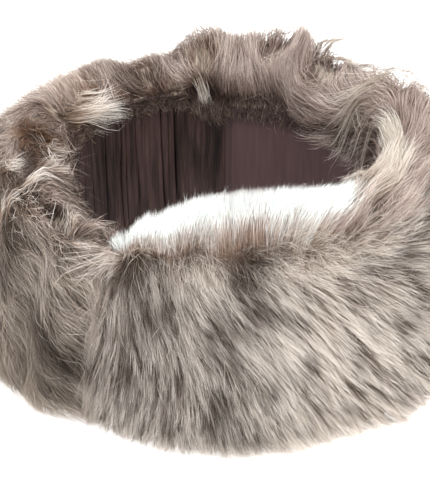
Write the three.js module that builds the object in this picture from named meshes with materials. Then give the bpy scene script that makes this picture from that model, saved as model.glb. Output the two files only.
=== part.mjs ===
// Sheepskin headband: a ring of deep fur in two panels, each with its own cloth lining.
// Millimetres, +Z up. The wearer faces -Y, the gathered back lies toward +Y, and the ring
// rests on its lower fur, flattened at z = 0.

import * as THREE from 'three';

// ---- driving dimensions ------------------------------------------------------------

const HEAD = { width: 160, length: 190 };       // clear oval inside the lining
const CLOTH_WALL = 1.6;                         // thickness of both lining cloths
const SEAT_GAP = 0.3;                           // left between pieces that touch
const SEAM = { right: 10, left: 160 };          // degrees round the oval, where panels meet

const LINING = { bottom: 12, plainTop: 112, gatheredTop: 125, rightRise: 18, leftRise: 36 };
const LINING_DIP = { angle: 140, depth: 16, width: 11 };    // the rim sinks by the left seam
const PLEATS = { count: 30, depth: 3.2, samples: 5, wander: 0.9, unevenness: 0.25, fadeSpan: 7 };
const PLEAT_DRIFT = { slow: 1.5, fast: 3.8, depth: 4.9 };   // turns over the panel's length

const FUR_BASE = { inset: 9, chamfer: 7 };      // where the flat underside starts
const BELLY_HEIGHT = 14;                        // widest part of the lower fringe
const FLANK_HEIGHT = 60;                        // middle of the outer side
const BROW_DROP = 10;                           // outer edge of the rim fur, below its crest
const RIM = { reach: 2.6, drop: 16 };           // inner slope of the rim fur, below its crest
const FRONT_STEP = 2.8;                         // degrees between lofted sections
const BACK_STEP = 2.4;
const POINTS_PER_STRETCH = 3;                   // samples between two outline points
const COMBED_STRETCHES = 4.5;                   // stretches from the foot that locks ripple

// One row per section of the fur, by degrees round the oval. Reaches are measured outward
// from the lining's inner face, heights from the floor. The parting is the valley between
// the combed-down outer fur and the upright rim fur; where the fur is fluffed up instead,
// the parting row lies high on the slope and the valley is gone.
const FUR_SECTIONS = [
  // near side of the front panel, combed down from a clear parting
  { angle: 160, foot: 52, belly: 61, flank: 51, shoulder: 34, shoulderHeight: 95,
    parting: 18, partingHeight: 109, brow: 13, crest: 7, crestHeight: 123 },
  { angle: 172, foot: 51, belly: 60, flank: 48, shoulder: 30, shoulderHeight: 94,
    parting: 18, partingHeight: 117, brow: 15, crest: 6, crestHeight: 139 },
  { angle: 190, foot: 53, belly: 62, flank: 50, shoulder: 31, shoulderHeight: 95,
    parting: 20, partingHeight: 120, brow: 17, crest: 7, crestHeight: 156 },
  { angle: 212, foot: 54, belly: 63, flank: 52, shoulder: 33, shoulderHeight: 96,
    parting: 21, partingHeight: 121, brow: 18, crest: 8, crestHeight: 160 },
  { angle: 236, foot: 52, belly: 60, flank: 53, shoulder: 38, shoulderHeight: 99,
    parting: 24, partingHeight: 122, brow: 19, crest: 9, crestHeight: 154 },
  { angle: 262, foot: 52, belly: 60, flank: 56, shoulder: 45, shoulderHeight: 104,
    parting: 30, partingHeight: 125, brow: 24, crest: 11, crestHeight: 152 },
  // wearer's front, where the parting closes and the rim fur broadens
  { angle: 288, foot: 51, belly: 61, flank: 61, shoulder: 53, shoulderHeight: 110,
    parting: 42, partingHeight: 132, brow: 34, crest: 20, crestHeight: 154 },
  { angle: 308, foot: 48, belly: 57, flank: 60, shoulder: 57, shoulderHeight: 112,
    parting: 53, partingHeight: 136, brow: 43, crest: 30, crestHeight: 161 },
  // far side, standing highest
  { angle: 330, foot: 46, belly: 55, flank: 59, shoulder: 56, shoulderHeight: 111,
    parting: 51, partingHeight: 132, brow: 41, crest: 27, crestHeight: 155 },
  { angle: 349, foot: 45, belly: 55, flank: 59, shoulder: 56, shoulderHeight: 113,
    parting: 52, partingHeight: 136, brow: 43, crest: 30, crestHeight: 161 },
  { angle: 370, foot: 44, belly: 53, flank: 58, shoulder: 55, shoulderHeight: 112,
    parting: 50, partingHeight: 133, brow: 40, crest: 27, crestHeight: 156 },
  // gathered back, bunched and rounder
  { angle: 395, foot: 44, belly: 54, flank: 59, shoulder: 54, shoulderHeight: 111,
    parting: 49, partingHeight: 131, brow: 39, crest: 25, crestHeight: 151 },
  { angle: 425, foot: 46, belly: 57, flank: 61, shoulder: 56, shoulderHeight: 111,
    parting: 49, partingHeight: 130, brow: 38, crest: 24, crestHeight: 150 },
  { angle: 455, foot: 49, belly: 61, flank: 63, shoulder: 56, shoulderHeight: 110,
    parting: 48, partingHeight: 129, brow: 36, crest: 22, crestHeight: 149 },
  { angle: 485, foot: 53, belly: 65, flank: 61, shoulder: 50, shoulderHeight: 105,
    parting: 39, partingHeight: 122, brow: 28, crest: 16, crestHeight: 138 },
  // where the rim sinks towards the left seam
  { angle: 500, foot: 53, belly: 64, flank: 56, shoulder: 43, shoulderHeight: 97,
    parting: 29, partingHeight: 110, brow: 20, crest: 12, crestHeight: 120 },
];

// One row per vertical crease in the outer fur: the two panel seams and the gathers that
// the elastic pulls into the back panel.
const CREASES = [
  { name: 'right_seam', angle: 10, depth: 6, width: 5 },
  { name: 'gather_1', angle: 43, depth: 12, width: 5 },
  { name: 'gather_2', angle: 62, depth: 6, width: 5 },
  { name: 'gather_3', angle: 81, depth: 9, width: 5 },
  { name: 'gather_4', angle: 101, depth: 7, width: 5 },
  { name: 'gather_5', angle: 121, depth: 8, width: 5 },
  { name: 'gather_6', angle: 141, depth: 9, width: 4 },
  { name: 'left_seam', angle: 160, depth: 12, width: 5 },
];

// Share of a crease's depth that each outline point draws in by, and sinks by.
const CREASE_REACH = { foot: 0.35, belly: 0.7, flank: 1, shoulder: 0.8, parting: 0.3, brow: 0.2 };
const CREASE_SINK = { parting: 0.2, brow: 0.5, crest: 0.5, slope: 0.3 };

// One row per family of locks, which ripple the combed surface as they sweep down it.
const LOCKS = [
  { around: 17, sweep: 2.2, height: 1.9 },
  { around: 29, sweep: -1.4, height: 1.2 },
];

// ---- the oval and the tables read round it -----------------------------------------

/** Point of the head oval at an angle in degrees, moved outward by reach, at height z. */
function onOval(angle, reach, z) {
  const t = THREE.MathUtils.degToRad(angle);
  const across = HEAD.width / 2;
  const along = HEAD.length / 2;
  const normal = new THREE.Vector2(along * Math.cos(t), across * Math.sin(t)).normalize();
  const x = across * Math.cos(t) + normal.x * reach;
  const y = along * Math.sin(t) + normal.y * reach;
  return new THREE.Vector3(x, y, z);
}

/** Degrees of turn that cover the given length along the inner oval at an angle. */
function degreesFor(length, angle) {
  const t = THREE.MathUtils.degToRad(angle);
  const speed = Math.hypot((HEAD.width / 2) * Math.sin(t), (HEAD.length / 2) * Math.cos(t));
  return THREE.MathUtils.radToDeg(length / speed);
}

/** Smallest difference between two angles in degrees, from -180 to 180. */
function turnBetween(a, b) {
  return THREE.MathUtils.euclideanModulo(a - b + 180, 360) - 180;
}

/** Fur section at any angle, eased between the two rows on either side of it. */
function sectionAt(angle) {
  const first = FUR_SECTIONS[0].angle;
  const turned = first + THREE.MathUtils.euclideanModulo(angle - first, 360);
  let low = FUR_SECTIONS.length - 1;
  while (FUR_SECTIONS[low].angle > turned) {
    low -= 1;
  }
  const from = FUR_SECTIONS[low];
  const to = FUR_SECTIONS[(low + 1) % FUR_SECTIONS.length];
  const span = THREE.MathUtils.euclideanModulo(to.angle - from.angle, 360);
  const share = THREE.MathUtils.smoothstep((turned - from.angle) / span, 0, 1);
  const section = {};
  for (const column of Object.keys(from)) {
    section[column] = THREE.MathUtils.lerp(from[column], to[column], share);
  }
  return section;
}

/** Depth of the creases at an angle. */
function creaseDepth(angle) {
  let depth = 0;
  for (const crease of CREASES) {
    const away = turnBetween(angle, crease.angle) / crease.width;
    depth += crease.depth * Math.exp(-away * away);
  }
  return depth;
}

/** Ripple of the combed locks at an angle and a share of the way up the outer side. */
function lockRipple(angle, share) {
  const t = THREE.MathUtils.degToRad(angle);
  let ripple = 0;
  for (const lock of LOCKS) {
    ripple += lock.height * Math.sin(lock.around * t + lock.sweep * Math.PI * share);
  }
  return ripple * Math.sin(Math.PI * THREE.MathUtils.clamp(share, 0, 1));
}

/** Height of the lining's top edge: plain in front, taller behind, sunk by the left seam. */
function liningTop(angle) {
  const turned = THREE.MathUtils.euclideanModulo(angle, 360);
  const fromRight = (turned - SEAM.right) / LINING.rightRise;
  const fromLeft = (SEAM.left - turned) / LINING.leftRise;
  const share = THREE.MathUtils.smoothstep(Math.min(fromRight, fromLeft), 0, 1);
  const away = turnBetween(angle, LINING_DIP.angle) / LINING_DIP.width;
  const dip = LINING_DIP.depth * Math.exp(-away * away);
  return THREE.MathUtils.lerp(LINING.plainTop, LINING.gatheredTop, share) - dip;
}

// ---- outlines across the ring, as (reach, height) points ---------------------------

/** Closed outline of the fur at an angle, counter-clockwise from the inner foot. */
function furOutline(angle) {
  const section = sectionAt(angle);
  const crease = creaseDepth(angle);
  const inner = CLOTH_WALL + SEAT_GAP;
  const top = liningTop(angle);
  const drawnIn = (name) => section[name] - CREASE_REACH[name] * crease;
  const sunk = (height, name) => height - CREASE_SINK[name] * crease;
  const slopeHeight = Math.max(sunk(section.crestHeight - RIM.drop, 'slope'), top + 2);
  const shape = new THREE.CatmullRomCurve3([
    new THREE.Vector3(drawnIn('foot'), 0, 0),
    new THREE.Vector3(drawnIn('belly'), BELLY_HEIGHT, 0),
    new THREE.Vector3(drawnIn('flank'), FLANK_HEIGHT, 0),
    new THREE.Vector3(drawnIn('shoulder'), section.shoulderHeight, 0),
    new THREE.Vector3(drawnIn('parting'), sunk(section.partingHeight, 'parting'), 0),
    new THREE.Vector3(drawnIn('brow'), sunk(section.crestHeight - BROW_DROP, 'brow'), 0),
    new THREE.Vector3(section.crest, sunk(section.crestHeight, 'crest'), 0),
    new THREE.Vector3(RIM.reach, slopeHeight, 0),
    new THREE.Vector3(inner, top - 2, 0),
  ], false, 'centripetal');
  const steps = (shape.points.length - 1) * POINTS_PER_STRETCH;
  const outline = [[inner, FUR_BASE.chamfer], [FUR_BASE.inset, 0]];
  for (let i = 0; i <= steps; i += 1) {
    const point = shape.getPoint(i / steps);
    const share = i / (COMBED_STRETCHES * POINTS_PER_STRETCH);
    const reach = point.x + lockRipple(angle, share);
    outline.push([Math.max(reach, inner), Math.max(point.y, 0)]);
  }
  return outline;
}

/** Outline of a cloth wall whose inner face stands at the given reach. */
function clothOutline(face, top) {
  return [
    [face, LINING.bottom],
    [face + CLOTH_WALL, LINING.bottom],
    [face + CLOTH_WALL, top],
    [face, top],
  ];
}

/** Outline of the plain lining at an angle. */
function plainOutline(angle) {
  return clothOutline(0, liningTop(angle));
}

/** Outline of the gathered lining: pleats stand inward and die out at the panel's ends. */
function pleatedOutline(angle) {
  const along = (angle - SEAM.right) / (SEAM.left - SEAM.right);
  const inside = Math.min(angle - SEAM.right, SEAM.left - angle);
  const fade = THREE.MathUtils.smoothstep(inside / PLEATS.fadeSpan, 0, 1);
  const drift = (turns) => Math.sin(2 * Math.PI * turns * along);
  const wander = PLEATS.wander * drift(PLEAT_DRIFT.slow) * drift(PLEAT_DRIFT.fast);
  const wave = 0.5 - 0.5 * Math.cos(2 * Math.PI * PLEATS.count * along + wander);
  const depth = PLEATS.depth * (1 - PLEATS.unevenness * (1 - drift(PLEAT_DRIFT.depth)) / 2);
  return clothOutline(-depth * fade * wave, liningTop(angle));
}

// ---- lofting -----------------------------------------------------------------------

/** Closed body through the outlines of a run of angles, capped at both ends. */
function loft(outlineAt, from, to, steps) {
  const rings = [];
  for (let k = 0; k <= steps; k += 1) {
    const angle = THREE.MathUtils.lerp(from, to, k / steps);
    rings.push({ angle, outline: outlineAt(angle) });
  }
  const count = rings[0].outline.length;
  const positions = [];
  for (const ring of rings) {
    for (const [reach, height] of ring.outline) {
      positions.push(...onOval(ring.angle, reach, height).toArray());
    }
  }
  const index = [];
  for (let k = 0; k < steps; k += 1) {
    for (let j = 0; j < count; j += 1) {
      const a = k * count + j;
      const b = k * count + ((j + 1) % count);
      const c = b + count;
      const d = a + count;
      index.push(a, d, b);
      index.push(b, d, c);
    }
  }
  addCap(index, rings[0].outline, 0, false);
  addCap(index, rings[steps].outline, steps * count, true);
  const geometry = new THREE.BufferGeometry();
  geometry.setAttribute('position', new THREE.Float32BufferAttribute(positions, 3));
  geometry.setIndex(index);
  geometry.computeVertexNormals();
  return geometry;
}

/** Adds the triangles that close one end of a loft. */
function addCap(index, outline, start, reversed) {
  const contour = outline.map(([reach, height]) => new THREE.Vector2(reach, height));
  for (const [a, b, c] of THREE.ShapeUtils.triangulateShape(contour, [])) {
    if (reversed) {
      index.push(start + a, start + c, start + b);
    } else {
      index.push(start + a, start + b, start + c);
    }
  }
}

/** Loft between two seams, kept half a seat gap short of each. */
function loftBetween(outlineAt, from, to, steps) {
  const start = from + degreesFor(SEAT_GAP / 2, from);
  const end = to - degreesFor(SEAT_GAP / 2, to);
  return loft(outlineAt, start, end, steps);
}

/** Body round the front, from the left seam through the wearer's front to the right one. */
function frontLoft(outlineAt) {
  const end = SEAM.right + 360;
  return loftBetween(outlineAt, SEAM.left, end, Math.round((end - SEAM.left) / FRONT_STEP));
}

/** Body round the gathered back, in the given number of steps. */
function backLoft(outlineAt, steps) {
  return loftBetween(outlineAt, SEAM.right, SEAM.left, steps);
}

// ---- the pieces --------------------------------------------------------------------

const frontFur = new THREE.MeshStandardMaterial({ color: 0xb9aea4, roughness: 0.9 });
const backFur = new THREE.MeshStandardMaterial({ color: 0xa0938a, roughness: 0.9 });
const plainCloth = new THREE.MeshStandardMaterial({ color: 0x4c4041, roughness: 0.75 });
const gatheredCloth = new THREE.MeshStandardMaterial({ color: 0x54474a, roughness: 0.6 });

/** Named mesh of one piece. */
function piece(name, geometry, material) {
  const mesh = new THREE.Mesh(geometry, material);
  mesh.name = name;
  return mesh;
}

/** The long fur panel round the front and both sides. */
function furFrontPanel() {
  return piece('fur_front_panel', frontLoft(furOutline), frontFur);
}

/** The gathered fur panel round the back. */
function furBackPanel() {
  const steps = Math.round((SEAM.left - SEAM.right) / BACK_STEP);
  return piece('fur_back_panel', backLoft(furOutline, steps), backFur);
}

/** The plain lining strip inside the front panel. */
function liningFront() {
  return piece('lining_front', frontLoft(plainOutline), plainCloth);
}

/** The gathered lining inside the back panel. */
function liningBack() {
  const steps = PLEATS.count * PLEATS.samples;
  return piece('lining_back', backLoft(pleatedOutline, steps), gatheredCloth);
}

const headband = new THREE.Group();
headband.name = 'sheepskin_headband';
headband.add(furFrontPanel(), furBackPanel(), liningFront(), liningBack());

export default headband;
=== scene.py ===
"""Sheepskin headband: long wool, gathered back and cloth linings, round the fixed frame."""

from __future__ import annotations

import logging
import math
from collections.abc import Iterator
from contextlib import contextmanager
from dataclasses import dataclass, fields
from enum import Enum

import bpy
import numpy as np
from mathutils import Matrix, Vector


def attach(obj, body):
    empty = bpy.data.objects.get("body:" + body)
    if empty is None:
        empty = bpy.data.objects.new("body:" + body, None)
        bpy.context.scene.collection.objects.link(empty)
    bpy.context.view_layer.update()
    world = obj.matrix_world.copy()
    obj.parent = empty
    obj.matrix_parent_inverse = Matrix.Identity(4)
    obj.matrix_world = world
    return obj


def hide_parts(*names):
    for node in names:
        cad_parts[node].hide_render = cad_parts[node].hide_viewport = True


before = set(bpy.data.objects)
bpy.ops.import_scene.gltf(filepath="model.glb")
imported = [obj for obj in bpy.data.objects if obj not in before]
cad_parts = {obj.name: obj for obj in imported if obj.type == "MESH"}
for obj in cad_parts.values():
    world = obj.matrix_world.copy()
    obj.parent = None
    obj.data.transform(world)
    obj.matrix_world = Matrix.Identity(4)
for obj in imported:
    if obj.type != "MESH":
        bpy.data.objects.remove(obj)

LOG = logging.getLogger("headband")
MM = 0.001
MM_PER_DEGREE = 2.1  # rough travel round the fur for one degree of the oval
MM_PER_U = 150  # rough travel along the outline for one whole step of u
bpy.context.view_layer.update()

Array = np.ndarray
Colour = tuple[float, float, float]


# ---- the oval and the form of the fur ------------------------------------------------


@dataclass(frozen=True)
class FurSection:
    """One section across the fur: degrees round the oval, then reaches and heights in mm."""

    angle: float
    foot: float
    belly: float
    flank: float
    shoulder: float
    shoulder_height: float
    parting: float
    parting_height: float
    brow: float
    crest: float
    crest_height: float


@dataclass(frozen=True)
class Crease:
    """A vertical crease in the outer fur: degrees round the oval, depth in mm, width in degrees."""

    angle: float
    depth: float
    width: float


FUR_SECTIONS = (
    FurSection(160, 52, 61, 51, 34, 95, 18, 109, 13, 7, 123),
    FurSection(172, 51, 60, 48, 30, 94, 18, 117, 15, 6, 139),
    FurSection(190, 53, 62, 50, 31, 95, 20, 120, 17, 7, 156),
    FurSection(212, 54, 63, 52, 33, 96, 21, 121, 18, 8, 160),
    FurSection(236, 52, 60, 53, 38, 99, 24, 122, 19, 9, 154),
    FurSection(262, 52, 60, 56, 45, 104, 30, 125, 24, 11, 152),
    FurSection(288, 51, 61, 61, 53, 110, 42, 132, 34, 20, 154),
    FurSection(308, 48, 57, 60, 57, 112, 53, 136, 43, 30, 161),
    FurSection(330, 46, 55, 59, 56, 111, 51, 132, 41, 27, 155),
    FurSection(349, 45, 55, 59, 56, 113, 52, 136, 43, 30, 161),
    FurSection(370, 44, 53, 58, 55, 112, 50, 133, 40, 27, 156),
    FurSection(395, 44, 54, 59, 54, 111, 49, 131, 39, 25, 151),
    FurSection(425, 46, 57, 61, 56, 111, 49, 130, 38, 24, 150),
    FurSection(455, 49, 61, 63, 56, 110, 48, 129, 36, 22, 149),
    FurSection(485, 53, 65, 61, 50, 105, 39, 122, 28, 16, 138),
    FurSection(500, 53, 64, 56, 43, 97, 29, 110, 20, 12, 120),
)
CREASES = (
    Crease(10, 6, 5),
    Crease(43, 12, 5),
    Crease(62, 6, 5),
    Crease(81, 9, 5),
    Crease(101, 7, 5),
    Crease(121, 8, 5),
    Crease(141, 9, 4),
    Crease(160, 12, 5),
)


@dataclass(frozen=True)
class AtAngle:
    """A row of a table read at any angle: degrees round the oval, and the value there."""

    angle: float
    value: float


# how far the wool's rim lies below the sections' crests, in mm
RIM_SAG = (
    AtAngle(21, 0), AtAngle(25, 5), AtAngle(29, 15), AtAngle(32, 16), AtAngle(36, 13),
    AtAngle(43, 9), AtAngle(58, 9), AtAngle(70, 8), AtAngle(82, 4), AtAngle(95, 0),
    AtAngle(280, 0), AtAngle(287, -7), AtAngle(296, -6), AtAngle(303, 0), AtAngle(308, -2),
    AtAngle(313, 2), AtAngle(317, 8), AtAngle(325, 9), AtAngle(330, 9), AtAngle(337, 6),
    AtAngle(341, 8), AtAngle(344, 12), AtAngle(347, 2), AtAngle(350, 0), AtAngle(356, 3),
    AtAngle(362, 4), AtAngle(368, 4), AtAngle(374, 0),
)
# extra height of the upright wool's tips, in mm
RISE_EDGE = (
    AtAngle(150, -18), AtAngle(153, -12), AtAngle(155, -6), AtAngle(157.5, 3),
    AtAngle(160, 8), AtAngle(162.5, 6), AtAngle(165, 4), AtAngle(168, 2.5),
    AtAngle(173, 3.5), AtAngle(178, 5.5), AtAngle(187, 3), AtAngle(193, 4.5),
    AtAngle(200, 5.6), AtAngle(210, 4), AtAngle(230, 3.5), AtAngle(250, 0),
)
# shift of tone along the foot of the upright wool
RISE_TONES = (
    AtAngle(158, -0.1), AtAngle(163, -0.2), AtAngle(170, 0.1), AtAngle(177, 0.2),
    AtAngle(182, -0.02), AtAngle(188, 0.14), AtAngle(194, -0.08), AtAngle(199, -0.54),
    AtAngle(204, -0.52), AtAngle(208, 0.16), AtAngle(213, 0.0), AtAngle(221, -0.26),
    AtAngle(230, -0.4),
)


def read_rows(rows: tuple[AtAngle, ...], angle: Array) -> Array:
    """Values at any angles, along straight lines between the rows."""
    return np.interp(angle, [row.angle for row in rows], [row.value for row in rows])


def turned_from(first: float, angle: Array) -> Array:
    """The same angles, each counted in the full turn that starts at the first one."""
    return first + (np.asarray(angle) - first) % 360


@dataclass(frozen=True)
class Oval:
    """The clear oval for the head, in mm, and where the two panels meet, in degrees."""

    width: float = 160.0
    length: float = 190.0
    right_seam: float = 10.0
    left_seam: float = 160.0

    def place(self, angle: Array, reach: Array, height: Array) -> Array:
        """Points at degrees round the oval, moved outward by reach.

        Args:
            angle: Degrees round the oval.
            reach: Millimetres outward from the oval.
            height: Millimetres above the floor.

        Returns:
            The points in mm, with the three coordinates on the last axis.
        """
        turn = np.radians(angle)
        across, along = self.width / 2, self.length / 2
        nx, ny = along * np.cos(turn), across * np.sin(turn)
        size = np.hypot(nx, ny)
        x = across * np.cos(turn) + nx / size * reach
        y = along * np.sin(turn) + ny / size * reach
        return np.stack(np.broadcast_arrays(x, y, height), -1)

    def per_degree(self, angle: Array, reach: Array) -> Array:
        """Millimetres of travel round the oval for one degree, at a reach."""
        turn = np.radians(angle)
        speed = np.hypot(self.width / 2 * np.sin(turn), self.length / 2 * np.cos(turn))
        return (speed + reach) * math.pi / 180

    def arc(self, start: float, end: float) -> float:
        """Length of the oval between two angles, in mm."""
        steps = np.linspace(start, end, 400)
        return float(np.mean(self.per_degree(steps, 0.0)) * (end - start))


def eased(share: Array) -> Array:
    """Smooth step from 0 to 1."""
    share = np.clip(share, 0.0, 1.0)
    return share * share * (3 - 2 * share)


def turn_between(a: Array, b: float) -> Array:
    """Smallest difference between angles in degrees, from -180 to 180."""
    return (np.asarray(a) - b + 180) % 360 - 180


@dataclass
class FurForm:
    """Outer form of the fur. u runs from the foot (0) up over the rim to the lining (1).

    Past 1 the outline runs on down the face of the lining, for wool that hangs over it.
    """

    oval: Oval = Oval()
    inner: float = 1.9
    belly_height: float = 14.0
    flank_height: float = 60.0
    brow_drop: float = 10.0
    rim_reach: float = 2.6
    rim_drop: float = 16.0
    plain_top: float = 112.0
    gathered_top: float = 125.0
    plain_face: float = -0.5
    gathered_face: float = -3.6
    right_rise: float = 18.0
    left_rise: float = 36.0
    dip_angle: float = 140.0
    dip_width: float = 11.0
    dip_depth: float = 16.0
    hide_reach: float = 3.6
    hide_foot: float = 9.0
    foot_trim: float = 0.12
    left_trim: float = -0.12
    right_trim: float = -0.20
    core_reach: float = 15.0
    rim_core_height: float = 112.0
    drape_core_height: float = 64.0
    inmost_reach: float = -3.5
    tension: float = 0.42
    samples: int = 120
    end: float = 1.25

    def __post_init__(self) -> None:
        """Samples the outlines once, one row for each degree."""
        angles = np.arange(361.0)
        curve = self._catmull_rom(self._knots(angles), np.linspace(0, 1, self.samples + 1))
        self._reach = np.maximum(curve[..., 0], self.inmost_reach)
        self._height = np.maximum(curve[..., 1], 0.0)
        step = np.hypot(np.diff(self._reach, axis=1), np.diff(self._height, axis=1))
        self._per_u = np.concatenate([step, step[:, -1:]], 1) * self.samples / self.end
        self._along = np.concatenate([np.zeros((361, 1)), np.cumsum(step, 1)], 1)

    def section(self, angle: Array) -> dict[str, Array]:
        """Section sizes at any angles, eased between the rows on either side."""
        first = FUR_SECTIONS[0].angle
        turned = turned_from(first, angle)
        starts = np.array([row.angle for row in FUR_SECTIONS])
        low = np.searchsorted(starts, turned, side="right") - 1
        ends = np.append(starts[1:], first + 360)
        share = eased((turned - starts[low]) / (ends[low] - starts[low]))
        names = [f.name for f in fields(FurSection) if f.name != "angle"]
        sizes = {}
        for name in names:
            column = np.array([getattr(row, name) for row in FUR_SECTIONS])
            sizes[name] = column[low] * (1 - share) + np.roll(column, -1)[low] * share
        sag = read_rows(RIM_SAG, turned_from(RIM_SAG[0].angle, angle))
        sizes["crest_height"] = sizes["crest_height"] - sag
        sizes["parting_height"] = sizes["parting_height"] - 0.5 * sag
        return sizes

    def crease(self, angle: Array) -> Array:
        """Depth of the creases at each angle, in mm."""
        depth = np.zeros_like(np.asarray(angle, float))
        for row in CREASES:
            depth += row.depth * np.exp(-((turn_between(angle, row.angle) / row.width) ** 2))
        return depth

    def lining_top(self, angle: Array) -> Array:
        """Height of the lining's top edge at each angle, in mm."""
        turned = np.asarray(angle) % 360
        right = (turned - self.oval.right_seam) / self.right_rise
        left = (self.oval.left_seam - turned) / self.left_rise
        share = eased(np.minimum(right, left))
        away = turn_between(angle, self.dip_angle) / self.dip_width
        dip = self.dip_depth * np.exp(-(away**2))
        return self.plain_top * (1 - share) + self.gathered_top * share - dip

    def _knots(self, angle: Array) -> Array:
        """Outline points (reach, height) of each angle, from the foot to the lining."""
        s, c, top = self.section(angle), self.crease(angle), self.lining_top(angle)
        slope = np.maximum(s["crest_height"] - self.rim_drop - 0.3 * c, top + 2)
        even = np.ones_like(angle)
        rows = (
            (s["foot"] - 0.35 * c, 0 * even),
            (s["belly"] - 0.7 * c, self.belly_height * even),
            (s["flank"] - c, self.flank_height * even),
            (s["shoulder"] - 0.8 * c, s["shoulder_height"]),
            (s["parting"] - 0.3 * c, s["parting_height"] - 0.2 * c),
            (s["brow"] - 0.2 * c, s["crest_height"] - self.brow_drop - 0.5 * c),
            (s["crest"], s["crest_height"] - 0.5 * c),
            (self.rim_reach * even, slope),
            (self.inner * even, top - 2),
            (-1.5 * even, top - 14),
            (-2.0 * even, top - 30),
        )
        return np.stack([np.stack(row, -1) for row in rows], 1)

    def _catmull_rom(self, knots: Array, u: Array) -> Array:
        """Smooth curve through each row of knots, read at the shares u of its stretches."""
        ends = (2 * knots[:, :1] - knots[:, 1:2], knots, 2 * knots[:, -1:] - knots[:, -2:-1])
        padded = np.concatenate(ends, 1)
        stretches = knots.shape[1] - 1
        low = np.minimum((u * stretches).astype(int), stretches - 1)
        f = (u * stretches - low)[None, :, None]
        p0, p1, p2, p3 = (padded[:, low + k] for k in range(4))
        m1, m2 = self.tension * (p2 - p0), self.tension * (p3 - p1)
        return (
            (2 * f**3 - 3 * f**2 + 1) * p1
            + (f**3 - 2 * f**2 + f) * m1
            + (3 * f**2 - 2 * f**3) * p2
            + (f**3 - f**2) * m2
        )

    def _read(self, table: Array, angle: Array, u: Array) -> Array:
        """Reads a table of degrees by outline samples, blended between its entries."""
        a = np.asarray(angle) % 360
        b = np.clip(u, 0, self.end) * self.samples / self.end
        i = np.minimum(a.astype(int), 359)
        j = np.minimum(b.astype(int), self.samples - 1)
        fa, fb = a - i, b - j
        low = table[i, j] * (1 - fb) + table[i, j + 1] * fb
        high = table[i + 1, j] * (1 - fb) + table[i + 1, j + 1] * fb
        return low * (1 - fa) + high * fa

    def outline(self, angle: Array, u: Array) -> tuple[Array, Array]:
        """Reach and height of the outer form, in mm."""
        return self._read(self._reach, angle, u), self._read(self._height, angle, u)

    def per_u(self, angle: Array, u: Array) -> Array:
        """Millimetres of travel along the outline for one whole step of u."""
        return np.maximum(self._read(self._per_u, angle, u), 60.0)

    def along(self, angle: Array, u: Array) -> Array:
        """Millimetres along the outline from the foot."""
        return self._read(self._along, angle, u)

    def hide(self, angle: Array, u: Array) -> tuple[Array, Array]:
        """Reach and height on the hide that the fur at (angle, u) grows from."""
        top = self.lining_top(angle) - 1.0
        share = np.clip(u / 0.5, 0, 1)
        edge = np.clip((u - 0.5) / 0.5, 0, 1)
        reach = self.hide_reach + 1.2 - 2.4 * edge
        return reach, self.hide_foot + (top - self.hide_foot) * share

    def point(self, angle: Array, u: Array, loft: Array, lift: Array | float = 0.0) -> Array:
        """Point in the fur, from the hide (loft 0) to the outer form (loft 1).

        Args:
            angle: Degrees round the oval.
            u: Place on the outline.
            loft: Share of the way from the hide to the outer form.
            lift: Millimetres beyond that, away from the fur's core.

        Returns:
            The points in mm.
        """
        reach, height = self.outline(angle, u)
        root_reach, root_height = self.hide(angle, u)
        loft = loft * self.fringe(angle, u)
        r = root_reach + (reach - root_reach) * loft
        z = root_height + (height - root_height) * loft
        core_height = np.where(u > 0.6, self.rim_core_height, self.drape_core_height)
        away_r, away_z = reach - self.core_reach, height - core_height
        size = np.maximum(np.hypot(away_r, away_z), 1e-6)
        r = r + lift * away_r / size
        z = z + lift * away_z / size
        turned = np.asarray(angle) % 360
        gathered = (turned > self.oval.right_seam) & (turned < self.oval.left_seam)
        face = np.where(gathered, self.gathered_face, self.plain_face)
        below = eased((self.lining_top(angle) + 3 - z) / 6) * (u > 0.9)
        return self.oval.place(angle, r + (np.minimum(r, face) - r) * below, z)

    def fringe(self, angle: Array, u: Array) -> Array:
        """Share of the loft that the thinner wool near the floor keeps."""
        left = eased((angle - 105) / 14) * eased((158 - angle) / 14)
        right = eased((angle - 224) / 22) * eased((300 - angle) / 20)
        trim = self.foot_trim + self.left_trim * left + self.right_trim * right
        return 1 - trim * (1 - eased((u - 0.05) / 0.2))

    def outward(self, points: Array, angle: Array) -> Array:
        """Directions away from the middle of the fur's thickness."""
        core = self.oval.place(angle, np.full_like(angle, 18.0), np.full_like(angle, 70.0))
        away = points - core
        return away / np.maximum(np.linalg.norm(away, axis=-1, keepdims=True), 1e-6)


# ---- pattern of the coat ----------------------------------------------------------------


def lattice(seed: int, size: int = 64) -> Array:
    """Square of seeded random numbers from -1 to 1."""
    return np.random.default_rng(seed).uniform(-1, 1, (size, size))


def noise(x: Array, y: Array, seed: int) -> Array:
    """Smooth seeded noise from -1 to 1 on a plane, one lattice cell to a unit."""
    table = lattice(seed)
    size = len(table)
    i, j = np.floor(x).astype(int), np.floor(y).astype(int)
    fx, fy = eased(x - i), eased(y - j)
    i0, i1, j0, j1 = i % size, (i + 1) % size, j % size, (j + 1) % size
    low = table[i0, j0] * (1 - fx) + table[i1, j0] * fx
    high = table[i0, j1] * (1 - fx) + table[i1, j1] * fx
    return low * (1 - fy) + high * fy


@dataclass(frozen=True)
class Patch:
    """A patch of darker or paler wool: its place and half sizes on (degrees, u), its shift."""

    angle: float
    u: float
    half_angle: float
    half_u: float
    shift: float


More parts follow.
